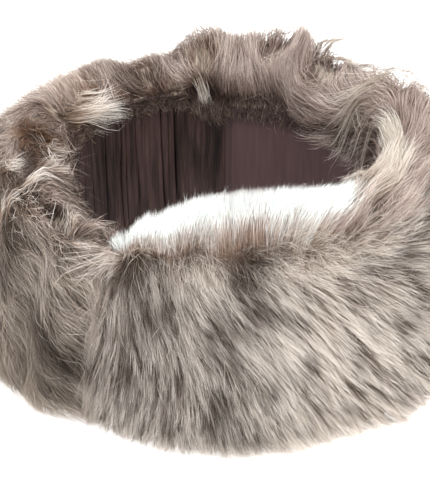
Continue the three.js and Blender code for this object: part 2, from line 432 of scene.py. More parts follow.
PATCHES = (
    # charcoal and brown streaks of the near side
    Patch(169, 0.44, 5.0, 0.055, -0.46),
    Patch(164, 0.38, 4.0, 0.040, -0.22),
    Patch(202, 0.46, 4.5, 0.050, -0.52),
    Patch(206, 0.38, 3.5, 0.035, -0.32),
    Patch(213, 0.36, 4.0, 0.022, -0.30),
    Patch(194, 0.33, 3.5, 0.030, -0.26),
    Patch(181, 0.36, 4.0, 0.035, -0.18),
    Patch(176, 0.31, 4.0, 0.020, -0.14),
    Patch(194, 0.21, 3.2, 0.045, -0.40),
    Patch(197, 0.27, 4.0, 0.025, -0.22),
    Patch(207, 0.235, 5.0, 0.022, -0.34),
    Patch(182, 0.205, 2.2, 0.025, -0.34),
    Patch(172, 0.24, 2.5, 0.025, -0.18),
    # streaks of the brow side, and dark and pale places beside the parting
    Patch(232, 0.36, 6.0, 0.020, -0.34),
    Patch(226, 0.42, 5.0, 0.016, -0.22),
    Patch(241, 0.415, 6.0, 0.020, -0.40),
    Patch(251, 0.40, 6.0, 0.022, -0.42),
    Patch(262, 0.42, 5.0, 0.020, -0.30),
    Patch(245, 0.28, 5.5, 0.022, -0.36),
    Patch(257, 0.24, 5.0, 0.030, -0.34),
    Patch(230, 0.25, 2.6, 0.022, -0.52),
    Patch(225, 0.30, 3.5, 0.014, -0.36),
    Patch(217, 0.275, 2.6, 0.014, -0.34),
    Patch(222, 0.19, 5.0, 0.020, -0.20),
    Patch(238, 0.18, 5.0, 0.018, -0.16),
    Patch(204, 0.52, 4.0, 0.030, -0.46),
    Patch(186, 0.52, 2.5, 0.030, -0.30),
    Patch(166, 0.50, 4.0, 0.030, -0.40),
    Patch(236, 0.50, 6.0, 0.030, 0.20),
    Patch(164, 0.46, 4.5, 0.050, -0.34),
    # cream stretches
    Patch(188, 0.46, 6.5, 0.050, 0.32),
    Patch(218, 0.475, 9.0, 0.035, 0.26),
    Patch(190, 0.41, 4.5, 0.060, 0.20),
    Patch(218, 0.30, 7.0, 0.060, 0.12),
    Patch(163, 0.28, 4.0, 0.060, 0.10),
    Patch(243, 0.34, 7.0, 0.030, 0.12),
    Patch(262, 0.56, 9.0, 0.060, 0.16),
    # the gathered side
    Patch(123, 0.52, 9.0, 0.080, -0.44),
    Patch(131, 0.36, 6.0, 0.060, -0.46),
    Patch(121, 0.51, 6.0, 0.070, -0.50),
    Patch(130, 0.41, 4.5, 0.060, -0.44),
    Patch(131, 0.55, 5.0, 0.035, -0.44),
    Patch(118, 0.64, 7.0, 0.040, 0.10),
    Patch(118, 0.74, 3.5, 0.040, -0.50),
    Patch(117, 0.57, 3.0, 0.040, -0.40),
    Patch(128, 0.61, 3.0, 0.035, -0.55),
    Patch(126, 0.49, 4.0, 0.040, -0.50),
    Patch(134, 0.67, 3.5, 0.045, -0.55),
    Patch(128, 0.82, 3.5, 0.040, -0.50),
    Patch(140, 0.60, 2.5, 0.030, -0.45),
    Patch(149, 0.235, 5.0, 0.026, -0.44),
    Patch(157, 0.205, 4.0, 0.022, -0.46),
    Patch(151, 0.33, 4.0, 0.030, -0.26),
    Patch(146, 0.27, 4.0, 0.020, -0.16),
    Patch(144, 0.42, 3.5, 0.030, -0.22),
    Patch(158, 0.50, 3.5, 0.090, 0.22),
    Patch(156, 0.40, 4.0, 0.060, 0.04),
    Patch(141, 0.22, 5.0, 0.040, 0.14),
    Patch(107, 0.80, 7.5, 0.080, -0.62),
    Patch(99, 0.86, 5.0, 0.060, -0.30),
    # the next two are painted shade along the top of the gathered lining, under the rim's wool
    Patch(120, 0.93, 24.0, 0.050, -0.44),
    Patch(86, 0.90, 9.0, 0.040, -0.34),
    Patch(72, 0.74, 14.0, 0.050, 0.24),
    Patch(62, 0.86, 8.0, 0.030, -0.16),
    Patch(44, 0.88, 6.0, 0.080, -0.40),
    # the far rim
    # the dark bands at u 0.92 and above are painted shade where the rim's wool meets the top of the
    # lining
    Patch(30, 0.92, 16.0, 0.045, -0.28),
    Patch(14, 0.93, 14.0, 0.045, -0.26),
    Patch(38, 0.80, 6.0, 0.040, -0.22),
    Patch(338, 0.95, 16.0, 0.040, -0.20),
    Patch(318, 0.97, 12.0, 0.050, -0.34),
    Patch(338, 0.82, 4.0, 0.050, -0.16),
    Patch(322, 0.77, 6.0, 0.030, 0.20),
    Patch(306, 0.80, 12.0, 0.060, 0.26),
    # painted shade in the hollow of the inner far side, between the pale ridge and the far fan
    Patch(290, 0.92, 9.0, 0.060, -0.46),
    Patch(254, 0.73, 16.0, 0.060, 0.60),
    Patch(234, 0.70, 9.0, 0.060, 0.70),
    Patch(236, 0.54, 6.0, 0.030, -0.16),
)


@dataclass(frozen=True)
class ToneRow:
    """Base tone of the coat's drape and of its rim at an angle."""

    angle: float
    drape: float
    rim: float


TONES = (
    ToneRow(160, 0.47, 0.44),
    ToneRow(182, 0.48, 0.44),
    ToneRow(200, 0.58, 0.42),
    ToneRow(210, 0.72, 0.42),
    ToneRow(224, 0.90, 0.46),
    ToneRow(240, 0.78, 0.50),
    ToneRow(256, 0.62, 0.54),
    ToneRow(280, 0.58, 0.38),
    ToneRow(300, 0.62, 0.46),
    ToneRow(320, 0.62, 0.50),
    ToneRow(350, 0.56, 0.48),
    ToneRow(375, 0.52, 0.44),
    ToneRow(400, 0.50, 0.42),
    ToneRow(420, 0.50, 0.52),
    ToneRow(452, 0.50, 0.60),
    ToneRow(478, 0.52, 0.38),
    ToneRow(500, 0.50, 0.38),
    ToneRow(514, 0.46, 0.44),
)


TONE_LIMITS = (0.02, 0.98)


@dataclass(frozen=True)
class CoatPattern:
    """Mottling of the wool: a tone from 0 (charcoal) to 1 (cream)."""

    broad: float = 0.08
    lock: float = 0.09
    streak: float = 0.10
    foot: float = 0.16
    seed: int = 11

    def tone(self, angle: Array, u: Array) -> Array:
        """Tone of the wool at each place.

        Args:
            angle: Degrees round the oval.
            u: Place on the outline.

        Returns:
            Tones from 0 to 1, before each strand's own difference.
        """
        first = TONES[0].angle
        turned = turned_from(first, angle)
        at = [row.angle for row in TONES] + [first + 360]
        drape = np.interp(turned, at, [row.drape for row in TONES] + [TONES[0].drape])
        rim = np.interp(turned, at, [row.rim for row in TONES] + [TONES[0].rim])
        share = eased((u - 0.44) / 0.16)
        tone = drape * (1 - share) + rim * share + self.foot * (1 - eased((u - 0.06) / 0.16))
        x = angle * MM_PER_DEGREE
        tone = tone + self.broad * noise(x / 26, u * 9, self.seed)
        tone += self.lock * noise(x / 8, u * 20, self.seed + 1)
        tone += self.streak * noise(x / 2.4, u * 15, self.seed + 2)
        for patch in PATCHES:
            wander = 0.5 * noise(x / 4, u * 24, self.seed + 3)
            da = turn_between(angle, patch.angle) / patch.half_angle + wander
            du = (u - patch.u) / patch.half_u + 0.6 * noise(x / 3, u * 12, self.seed + 4)
            tone += patch.shift * np.exp(-(da * da + du * du))
        return tone


# ---- materials --------------------------------------------------------------------------


class NodeMaker:
    """Small helper that lays out the nodes of one material."""

    def __init__(self, name: str) -> None:
        """Starts a material with a single Principled shader."""
        self.material = bpy.data.materials.new(name)
        self.material.use_nodes = True
        self.tree = self.material.node_tree
        self.shader = self.tree.nodes["Principled BSDF"]

    def add(self, kind: str, **values: object) -> bpy.types.Node:
        """Adds a node and sets its properties."""
        node = self.tree.nodes.new(kind)
        for key, value in values.items():
            setattr(node, key, value)
        return node

    def link(self, source: bpy.types.NodeSocket, target: bpy.types.NodeSocket) -> None:
        """Links two sockets."""
        self.tree.links.new(source, target)

    def ramp(self, factor: bpy.types.NodeSocket, stops: tuple) -> bpy.types.NodeSocket:
        """Colour ramp over (position, colour) stops.

        Args:
            factor: Socket that drives the ramp.
            stops: Pairs of a position and a colour.

        Returns:
            The ramp's colour socket.
        """
        node = self.add("ShaderNodeValToRGB")
        elements = node.color_ramp.elements
        while len(elements) < len(stops):
            elements.new(0.5)
        for element, (position, colour) in zip(elements, stops):
            element.position = position
            element.color = (*colour, 1.0)
        self.link(factor, node.inputs["Fac"])
        return node.outputs["Color"]

    def surface(self, **values: float) -> None:
        """Sets inputs of the shader, named in lower case with _ for a space."""
        for socket in self.shader.inputs:
            key = socket.name.lower().replace(" ", "_")
            if key in values:
                socket.default_value = values[key]

    def bump(self, height: bpy.types.NodeSocket, strength: float, distance: float) -> None:
        """Raises the surface by a height socket; the distance is in metres."""
        node = self.add("ShaderNodeBump")
        node.inputs["Strength"].default_value = strength
        node.inputs["Distance"].default_value = distance
        self.link(height, node.inputs["Height"])
        self.link(node.outputs["Normal"], self.shader.inputs["Normal"])

    def mix(self, factor: object, a: object, b: object, mode: str = "MIX") -> bpy.types.NodeSocket:
        """Mixes two colours; each input is a socket or a plain value."""
        node = self.add("ShaderNodeMix", data_type="RGBA", blend_type=mode)
        for socket, value in ((node.inputs[0], factor), (node.inputs[6], a), (node.inputs[7], b)):
            if isinstance(value, bpy.types.NodeSocket):
                self.link(value, socket)
            elif isinstance(value, tuple):
                socket.default_value = (*value, 1.0)
            else:
                socket.default_value = value
        return node.outputs[2]


def rgb(code: str) -> Colour:
    """Linear colour of a hex code such as 'c8beb4'."""
    parts = [int(code[i : i + 2], 16) / 255 for i in (0, 2, 4)]
    return tuple(p / 12.92 if p <= 0.04045 else ((p + 0.055) / 1.055) ** 2.4 for p in parts)


@dataclass(frozen=True)
class WoolFinish:
    """Wool dyed from root to tip: one run of colours for dark strands and one for pale ones.

    Each run is a tuple of (share of the length, hex colour). A strand's own map holds its
    tone across and its length upward.
    """

    name: str
    dark: tuple
    pale: tuple
    roughness: float = 0.7
    specular: float = 0.1
    sheen: float = 0.0

    def make(self) -> bpy.types.Material:
        """Builds the wool's material."""
        maker = NodeMaker(self.name)
        uv = maker.add("ShaderNodeUVMap", uv_map="OFBake")
        split = maker.add("ShaderNodeSeparateXYZ")
        maker.link(uv.outputs[0], split.inputs[0])
        along = split.outputs["Y"]
        dark = maker.ramp(along, tuple((p, rgb(c)) for p, c in self.dark))
        pale = maker.ramp(along, tuple((p, rgb(c)) for p, c in self.pale))
        colour = maker.mix(split.outputs["X"], dark, pale)
        maker.link(colour, maker.shader.inputs["Base Color"])
        maker.surface(
            roughness=self.roughness, specular_ior_level=self.specular, sheen_weight=self.sheen
        )
        return maker.material


@dataclass(frozen=True)
class UndercoatFinish:
    """Dense short wool seen between the locks, as mottled as they are."""

    name: str
    dark: str
    pale: str

    def make(self) -> bpy.types.Material:
        """Builds the undercoat's material."""
        maker = NodeMaker(self.name)
        tone = maker.add("ShaderNodeAttribute", attribute_name="tone")
        flow = maker.add("ShaderNodeAttribute", attribute_name="flow")
        hairs = maker.add("ShaderNodeTexNoise")
        hairs.inputs["Scale"].default_value = 1.0
        hairs.inputs["Detail"].default_value = 3.0
        maker.link(flow.outputs["Vector"], hairs.inputs["Vector"])
        spread = maker.add("ShaderNodeMath", operation="MULTIPLY_ADD")
        spread.inputs[1].default_value = 1.5
        maker.link(hairs.outputs["Fac"], spread.inputs[0])
        lower = maker.add("ShaderNodeMath", operation="SUBTRACT")
        lower.inputs[1].default_value = 0.75
        maker.link(tone.outputs["Fac"], lower.inputs[0])
        maker.link(lower.outputs[0], spread.inputs[2])
        colour = maker.ramp(spread.outputs[0], ((0.0, rgb(self.dark)), (1.0, rgb(self.pale))))
        maker.link(colour, maker.shader.inputs["Base Color"])
        maker.bump(hairs.outputs["Fac"], 0.8, 0.001)
        maker.surface(roughness=0.95, specular_ior_level=0.1)
        return maker.material


@dataclass(frozen=True)
class ClothFinish:
    """Dark lining cloth, woven or satin; its map holds real lengths along and up the strip."""

    name: str
    # colour of the painted shade in the folds' creases and hollows and along the top edge under the
    # fur
    crease: str
    shade: str
    light: str
    thread: float
    roughness: float
    specular: float
    sheen: float
    length: float
    height: float

    def make(self) -> bpy.types.Material:
        """Builds the cloth's material."""
        maker = NodeMaker(self.name)
        uv = maker.add("ShaderNodeUVMap", uv_map="OFBake")
        scale = maker.add("ShaderNodeMapping")
        scale.inputs["Scale"].default_value = (self.length, self.height, 1.0)
        maker.link(uv.outputs[0], scale.inputs["Vector"])
        streak = maker.add("ShaderNodeTexNoise")
        streak.inputs["Scale"].default_value = 1.0
        streak.inputs["Detail"].default_value = 4.0
        stretch = maker.add("ShaderNodeMapping")
        stretch.inputs["Scale"].default_value = (260.0, 20.0, 1.0)
        maker.link(scale.outputs[0], stretch.inputs["Vector"])
        maker.link(stretch.outputs[0], streak.inputs["Vector"])
        cloth = maker.ramp(streak.outputs["Fac"], ((0.3, rgb(self.shade)), (0.72, rgb(self.light))))
        # painted shade: the crease attribute mixes the cloth toward the crease colour where folds and
        # the fur's edge would shade it
        depth = maker.add("ShaderNodeAttribute", attribute_name="crease")
        colour = maker.mix(depth.outputs["Fac"], cloth, rgb(self.crease))
        maker.link(colour, maker.shader.inputs["Base Color"])
        warp = self._threads(maker, scale, "X")
        weft = self._threads(maker, scale, "Y")
        weave = maker.add("ShaderNodeMath", operation="MULTIPLY")
        maker.link(warp, weave.inputs[0])
        maker.link(weft, weave.inputs[1])
        maker.bump(weave.outputs[0], 0.25, 0.0002)
        maker.surface(
            roughness=self.roughness, specular_ior_level=self.specular, sheen_weight=self.sheen
        )
        return maker.material

    def _threads(self, maker: NodeMaker, scale: bpy.types.Node, way: str) -> bpy.types.NodeSocket:
        """Ridges of the threads that run across one direction."""
        wave = maker.add("ShaderNodeTexWave", bands_direction=way)
        wave.inputs["Scale"].default_value = 0.5 / self.thread
        wave.inputs["Distortion"].default_value = 0.6
        maker.link(scale.outputs[0], wave.inputs["Vector"])
        return wave.outputs["Fac"]


@dataclass(frozen=True)
class ThreadFinish:
    """Sewing thread."""

    name: str = "lining_thread"
    colour: str = "3b3031"

    def make(self) -> bpy.types.Material:
        """Builds the thread's material."""
        maker = NodeMaker(self.name)
        place = maker.add("ShaderNodeTexCoord")
        twist = maker.add("ShaderNodeTexWave")
        twist.inputs["Scale"].default_value = 900.0
        maker.link(place.outputs["Object"], twist.inputs["Vector"])
        low = tuple(0.6 * c for c in rgb(self.colour))
        colour = maker.ramp(twist.outputs["Fac"], ((0.0, low), (1.0, rgb(self.colour))))
        maker.link(colour, maker.shader.inputs["Base Color"])
        maker.surface(roughness=0.6)
        return maker.material


COAT = WoolFinish(
    "combed_wool",
    dark=((0.0, "231710"), (0.4, "2e231b"), (0.75, "43362d"), (1.0, "6e5f54")),
    pale=((0.0, "6e5341"), (0.3, "a89686"), (0.6, "d8cdc3"), (1.0, "f6efe7")),
)
BACK_COAT = WoolFinish(
    "gathered_wool",
    dark=((0.0, "271c17"), (0.4, "32271f"), (0.75, "473b33"), (1.0, "6b5e56")),
    pale=((0.0, "69503f"), (0.35, "9d8b7c"), (0.65, "cdbfb1"), (1.0, "ebe0d6")),
)
SNOW_TIPS = WoolFinish(
    "snow_tipped_wool",
    dark=(
        (0.0, "5a4438"), (0.34, "876d5e"), (0.56, "bba69a"), (0.74, "f4f7f5"), (0.9, "eeefee"),
        (1.0, "a79b96"),
    ),
    pale=((0.0, "937767"), (0.2, "c6b2a5"), (0.42, "f3f6f4"), (0.66, "f9fffd")),
)
RIM_COAT = WoolFinish(
    "curled_rim_wool",
    dark=((0.0, "2b1f1a"), (0.3, "46362f"), (0.7, "69544b"), (1.0, "8c776c")),
    pale=((0.0, "604b43"), (0.3, "9b847a"), (0.65, "d3c0b6"), (1.0, "f7eee7")),
)
PUFF_COAT = WoolFinish(
    "puffed_wool",
    dark=((0.0, "18100c"), (0.4, "2f221b"), (0.75, "4d3a2f"), (1.0, "715b4d")),
    pale=((0.0, "4f392c"), (0.32, "8f7466"), (0.6, "cfbaae"), (1.0, "f9f0e8")),
)
BROWN = WoolFinish(
    "brown_wool",
    dark=((0.0, "24160e"), (0.5, "523a2c"), (1.0, "7d604d")),
    pale=((0.0, "553a2a"), (0.5, "977a66"), (1.0, "c8b09d")),
)
# hair that hangs over the lining's top edge: the hair is real, its near-black colour is painted shade
# along that edge
HEM_COAT = WoolFinish(
    "hem_wool",
    dark=((0.0, "14100e"), (0.5, "261c19"), (1.0, "44352f")),
    pale=((0.0, "2f2420"), (0.5, "5d4c44"), (1.0, "a08c80")),
)
CREAM = WoolFinish(
    "cream_tufts",
    dark=((0.0, "3b2c25"), (0.4, "655247"), (1.0, "8b796d")),
    pale=((0.0, "725f50"), (0.35, "cabdaf"), (0.7, "e5ddd1"), (1.0, "f7f3ec")),
)
BACK_CREAM = WoolFinish(
    "back_cream_tufts",
    dark=((0.0, "221813"), (0.45, "4a3a30"), (1.0, "84725f")),
    pale=((0.0, "3a2a20"), (0.3, "9c8776"), (0.55, "e2d6ca"), (1.0, "fffbf5")),
)


# ---- strands -----------------------------------------------------------------------------


class Flow(Enum):
    """Which way the strands of a bed run."""

    COAT = "down the outer form, along the coat's sweep"
    RIM = "over the rim, along the rim's sweep"
    RISE = "up from the parting to the edge above the brow"
    HEM = "down over the edge of the lining"


@dataclass(frozen=True)
class Sweep:
    """Headings in degrees at three places across the fur, at one angle round it.

    A heading of 0 runs down the outline toward the foot, 90 runs toward growing angle and
    180 runs up the outline, toward the lining.
    """

    angle: float
    first: float
    second: float
    third: float


COAT_PLACES = (0.18, 0.33, 0.46)
COAT_SWEEPS = (
    Sweep(128, 45, 60, 78),
    Sweep(140, 52, 62, 62),
    Sweep(150, 74, 62, 66),
    Sweep(156, 70, 45, 40),
    Sweep(160, -12, -14, -6),
    Sweep(166, -8, 12, 14),
    Sweep(171, -4, 34, 36),
    Sweep(180, -6, 35, 12),
    Sweep(190, 8, 43, 28),
    Sweep(200, 22, 43, 34),
    Sweep(212, 36, 41, 46),
    Sweep(222, 35, 36, 48),
    Sweep(232, 35, 35, 58),
    Sweep(242, 36, 37, 68),
    Sweep(252, 37, 41, 80),
    Sweep(268, 35, 46, 78),
    Sweep(285, 30, 42, 62),
    Sweep(310, 20, 28, 40),
    Sweep(340, 8, 12, 16),
    Sweep(365, 0, 2, 4),
    Sweep(400, -4, -6, -8),
    Sweep(440, 6, 8, 10),
    Sweep(465, 28, 34, 44),
    Sweep(478, 38, 48, 64),
)
RIM_PLACES = (0.60, 0.75, 0.92)
RIM_SWEEPS = (
    Sweep(158, 0, 0, 0),
    Sweep(212, 0, 0, 0),
    Sweep(218, 172, 178, 180),
    Sweep(226, 140, 158, 165),
    Sweep(234, 116, 138, 150),
    Sweep(244, 106, 122, 140),
    Sweep(254, 98, 108, 130),
    Sweep(266, 90, 98, 125),
    Sweep(278, 78, 90, 125),
    Sweep(290, 62, 84, 140),
    Sweep(301, 40, 76, 146),
    Sweep(316, 20, 66, 126),
    Sweep(332, 10, 46, 96),
    Sweep(345, 5, 20, 30),
    Sweep(356, 0, 5, 5),
    Sweep(370, 10, 10, 5),
    Sweep(386, 24, 30, 20),
    Sweep(400, 32, 42, 30),
    Sweep(412, 16, 22, 15),
    Sweep(424, 4, 6, 8),
    Sweep(440, 4, 5, 8),
    Sweep(453, 20, 60, 110),
    Sweep(463, 60, 140, 168),
    Sweep(480, 96, 160, 178),
    Sweep(496, 104, 160, 176),
    Sweep(508, 90, 140, 168),
    Sweep(515, 60, 40, 10),
)


@dataclass(frozen=True)
class Whorl:
    """A place that the wool spreads out from: degrees, u, reach in mm and strength."""

    angle: float
    u: float
    radius: float
    weight: float


RIM_WHORLS = (
    Whorl(107, 0.79, 15, 2.6),
    Whorl(63, 0.92, 15, 1.6),
    Whorl(84, 0.84, 10, 1.2),
    Whorl(39, 0.82, 12, 1.7),
    Whorl(18, 0.83, 14, 1.2),
    Whorl(353, 0.82, 14, 1.2),
    Whorl(334, 0.79, 12, 1.5),
    Whorl(123, 0.60, 12, 1.6),
    Whorl(137, 0.66, 9, 1.4),
    Whorl(308, 0.72, 15, 1.1),
    Whorl(240, 0.55, 11, 1.0),
)


@dataclass(frozen=True)
class SweepField:
    """Heading of the wool anywhere on the form, blended from a table of sweeps."""

    rows: tuple[Sweep, ...]
    places: tuple[float, float, float]
    whorls: tuple[Whorl, ...] = ()

    def heading(self, angle: Array, u: Array) -> Array:
        """Heading at each place, in radians."""
        first = self.rows[0].angle
        turned = turned_from(first, angle)
        at = [row.angle for row in self.rows] + [first + 360]
        sums = []
        for part in (np.cos, np.sin):
            columns = []
            for name in ("first", "second", "third"):
                values = [float(part(math.radians(getattr(r, name)))) for r in self.rows]
                columns.append(np.interp(turned, at, values + values[:1]))
            low, mid, high = self.places
            up = np.clip((u - mid) / (high - mid), 0, 1)
            down = np.clip((mid - u) / (mid - low), 0, 1)
            sums.append(columns[1] * (1 - up - down) + columns[2] * up + columns[0] * down)
        for whorl in self.whorls:
            across = turn_between(angle, whorl.angle) * MM_PER_DEGREE
            over = (u - whorl.u) * MM_PER_U
            far = np.hypot(across, over) + 0.5
            near = whorl.weight * np.exp(-((far / whorl.radius) ** 2)) / far
            sums[0] = sums[0] - near * over
            sums[1] = sums[1] + near * across
        return np.arctan2(sums[1], sums[0])


FIELDS = {
    Flow.COAT: SweepField(COAT_SWEEPS, COAT_PLACES),
    Flow.RIM: SweepField(RIM_SWEEPS, RIM_PLACES, RIM_WHORLS),
    Flow.HEM: SweepField((Sweep(0, 180, 180, 180), Sweep(180, 180, 180, 180)), RIM_PLACES),
}


@dataclass(frozen=True)
class FurZone:
    """One bed of strands. Spans are degrees and u; lengths and widths are in mm."""

    name: str
    finish: WoolFinish
    flow: Flow
    span: tuple[float, float]
    roots: tuple[float, float]
    count: int
    length: tuple[float, float] = (14, 25)
    rise: tuple[float, float] = (0.67, 0.752)
    width: float = 0.20
    root_loft: float = 0.70
    loft: tuple[float, float] = (0.975, 1.01)
    draw: tuple[float, float, float] = (0.55, 0.25, 0.10)
    cell: tuple[float, float] = (0.95, 8.0)
    curl: float = 0.4
    turns: float = 0.6
    twist: float = 0.8
    shade: float = 0.0
    noise: float = 0.07
    tones: tuple[float, float, float] = (0.05, 0.06, 0.04)
    contrast: float = 1.1
    stray: float = 0.05
    flyaway: float = 0.03
    fluff: float = 0.5
    # painted shade: how much darker strands near the edges of locks are, for the shade in the gaps
    # between locks
    gap: float = 0.11
    streaks: float = 0.42
    grain: float = 6.5
    share: float = 1.0
    segments: int = 3
    seed: int = 1
    slot: str = "front_fur"
    node: str = "fur_front_panel"


@dataclass
class Strands:
    """Paths, facing directions, widths and tones of a bed of strands, in mm."""

    paths: Array
    facing: Array
    widths: Array
    tones: Array


@dataclass
class Lock:
    """The lock that each strand belongs to.

    Holds degrees and u to its middle line, the share of its width that lies between, the
    millimetres ahead to its centre, four normal random numbers and eight even ones.
    """

    to_angle: Array
    to_u: Array
    aside: Array
    ahead: Array
    own: Array
    grain: Array

    def edge(self) -> Array:
        """How near each strand is to the edge of its lock, from 0 to 1."""
        return eased((self.aside - 0.16) / 0.34)


@dataclass
class Locks:
    """Long locks that lie along the wool's flow; each strand joins the nearest one."""

    form: FurForm
    across: float
    down: float
    seed: int
    reach: int = 3
    kinds: int = 8192
    primes: tuple[int, int] = (7919, 104729)
    slip: float = 0.15

    def find(self, angle: Array, u: Array, heading: Array) -> Lock:
        """Finds the lock of each root.

        Args:
            angle: Degrees round the oval of each root.
            u: Place on the outline of each root.
            heading: Heading of the flow at each root, in radians.

        Returns:
            The lock of each root.
        """
        step = math.sqrt(self.across * self.down)
        x, y = angle * MM_PER_DEGREE / step, self.form.along(angle, u) / step
        column, row = np.floor(x).astype(np.int64), np.floor(y).astype(np.int64)
        source = np.random.default_rng(self.seed)
        jitter, own = source.random((self.kinds, 2)), source.normal(0, 1, (self.kinds, 4))
        grain = source.random((self.kinds, 8))
        sin, cos = np.sin(heading), np.cos(heading)
        nearest = np.full(len(x), np.inf)
        side, ahead, chosen = np.zeros(len(x)), np.zeros(len(x)), np.zeros(len(x), np.int64)
        for i in range(-self.reach, self.reach + 1):
            for j in range(-self.reach, self.reach + 1):
                key = (column + i) * self.primes[0] + (row + j) * self.primes[1]
                key %= self.kinds
                dx = (column + i + jitter[key, 0] - x) * step
                dy = (row + j + jitter[key, 1] - y) * step
                over, on = dx * cos + dy * sin, dx * sin - dy * cos
                far = (over / self.across) ** 2 + (on / self.down) ** 2
                better = far < nearest
                nearest = np.where(better, far, nearest)
                side, ahead = np.where(better, over, side), np.where(better, on, ahead)
                chosen = np.where(better, key, chosen)
        to_angle = (side * cos + self.slip * ahead * sin) / MM_PER_DEGREE
        to_u = (side * sin - self.slip * ahead * cos) / self.form.per_u(angle, u)
        aside = np.abs(side) / self.across
        return Lock(to_angle, to_u, aside, ahead, own[chosen], grain[chosen])


def ribbon_sides(paths: Array, outward: Array, turn: Array) -> Array:
    """Side directions of flat strands.

    Args:
        paths: The strands.
        outward: Directions away from the fur, at every station.
        turn: Turn of each strand about itself, at every station, in radians.

    Returns:
        Unit directions across each strand.
    """
    tangent = np.gradient(paths, axis=1)
    tangent /= np.maximum(np.linalg.norm(tangent, axis=-1, keepdims=True), 1e-6)
    side = np.cross(tangent, outward)
    side /= np.maximum(np.linalg.norm(side, axis=-1, keepdims=True), 1e-6)
    normal = np.cross(side, tangent)
    return side * np.cos(turn)[..., None] + normal * np.sin(turn)[..., None]


CEILING = 164.0  # height in mm that strands pass by OVER_CEILING at most
OVER_CEILING = 8


def settled(paths: Array, floor: Array | float) -> Array:
    """Keeps strands above the floor and rounds off the ones that reach too high.

    Args:
        paths: The strands, in mm.
        floor: Lowest height allowed.

    Returns:
        The same strands, moved where needed.
    """
    over = np.maximum(paths[..., 2] - CEILING, 0.0)
    kept = OVER_CEILING * (1 - np.exp(-over / OVER_CEILING))
    paths[..., 2] = np.maximum(paths[..., 2] - over + kept, floor)
    return paths


def waved(paths: Array, outward: Array, size: Array, spin: Array) -> Array:
    """Adds loose waves to strands.

    Args:
        paths: The strands.
        outward: Directions away from the fur, at every station.
        size: Size of the wave at every station, in mm.
        spin: Phase of the wave at every station, in radians.

    Returns:
        The waved strands.
    """
    side = ribbon_sides(paths, outward, np.zeros(paths.shape[:2]))
    sway = (np.sin(spin) - np.sin(spin[:, :1]))[..., None] * side
    lift = (np.cos(spin) - np.cos(spin[:, :1]))[..., None] * outward
    return paths + size[..., None] * (sway + 0.6 * lift)


LOCK_SCALES = ((1.0, 1.0), (3.0, 1.7), (8.5, 3.4))  # wisp, lock and group, over a zone's cell
LOCK_SEED = 70  # added to a zone's seed for its locks


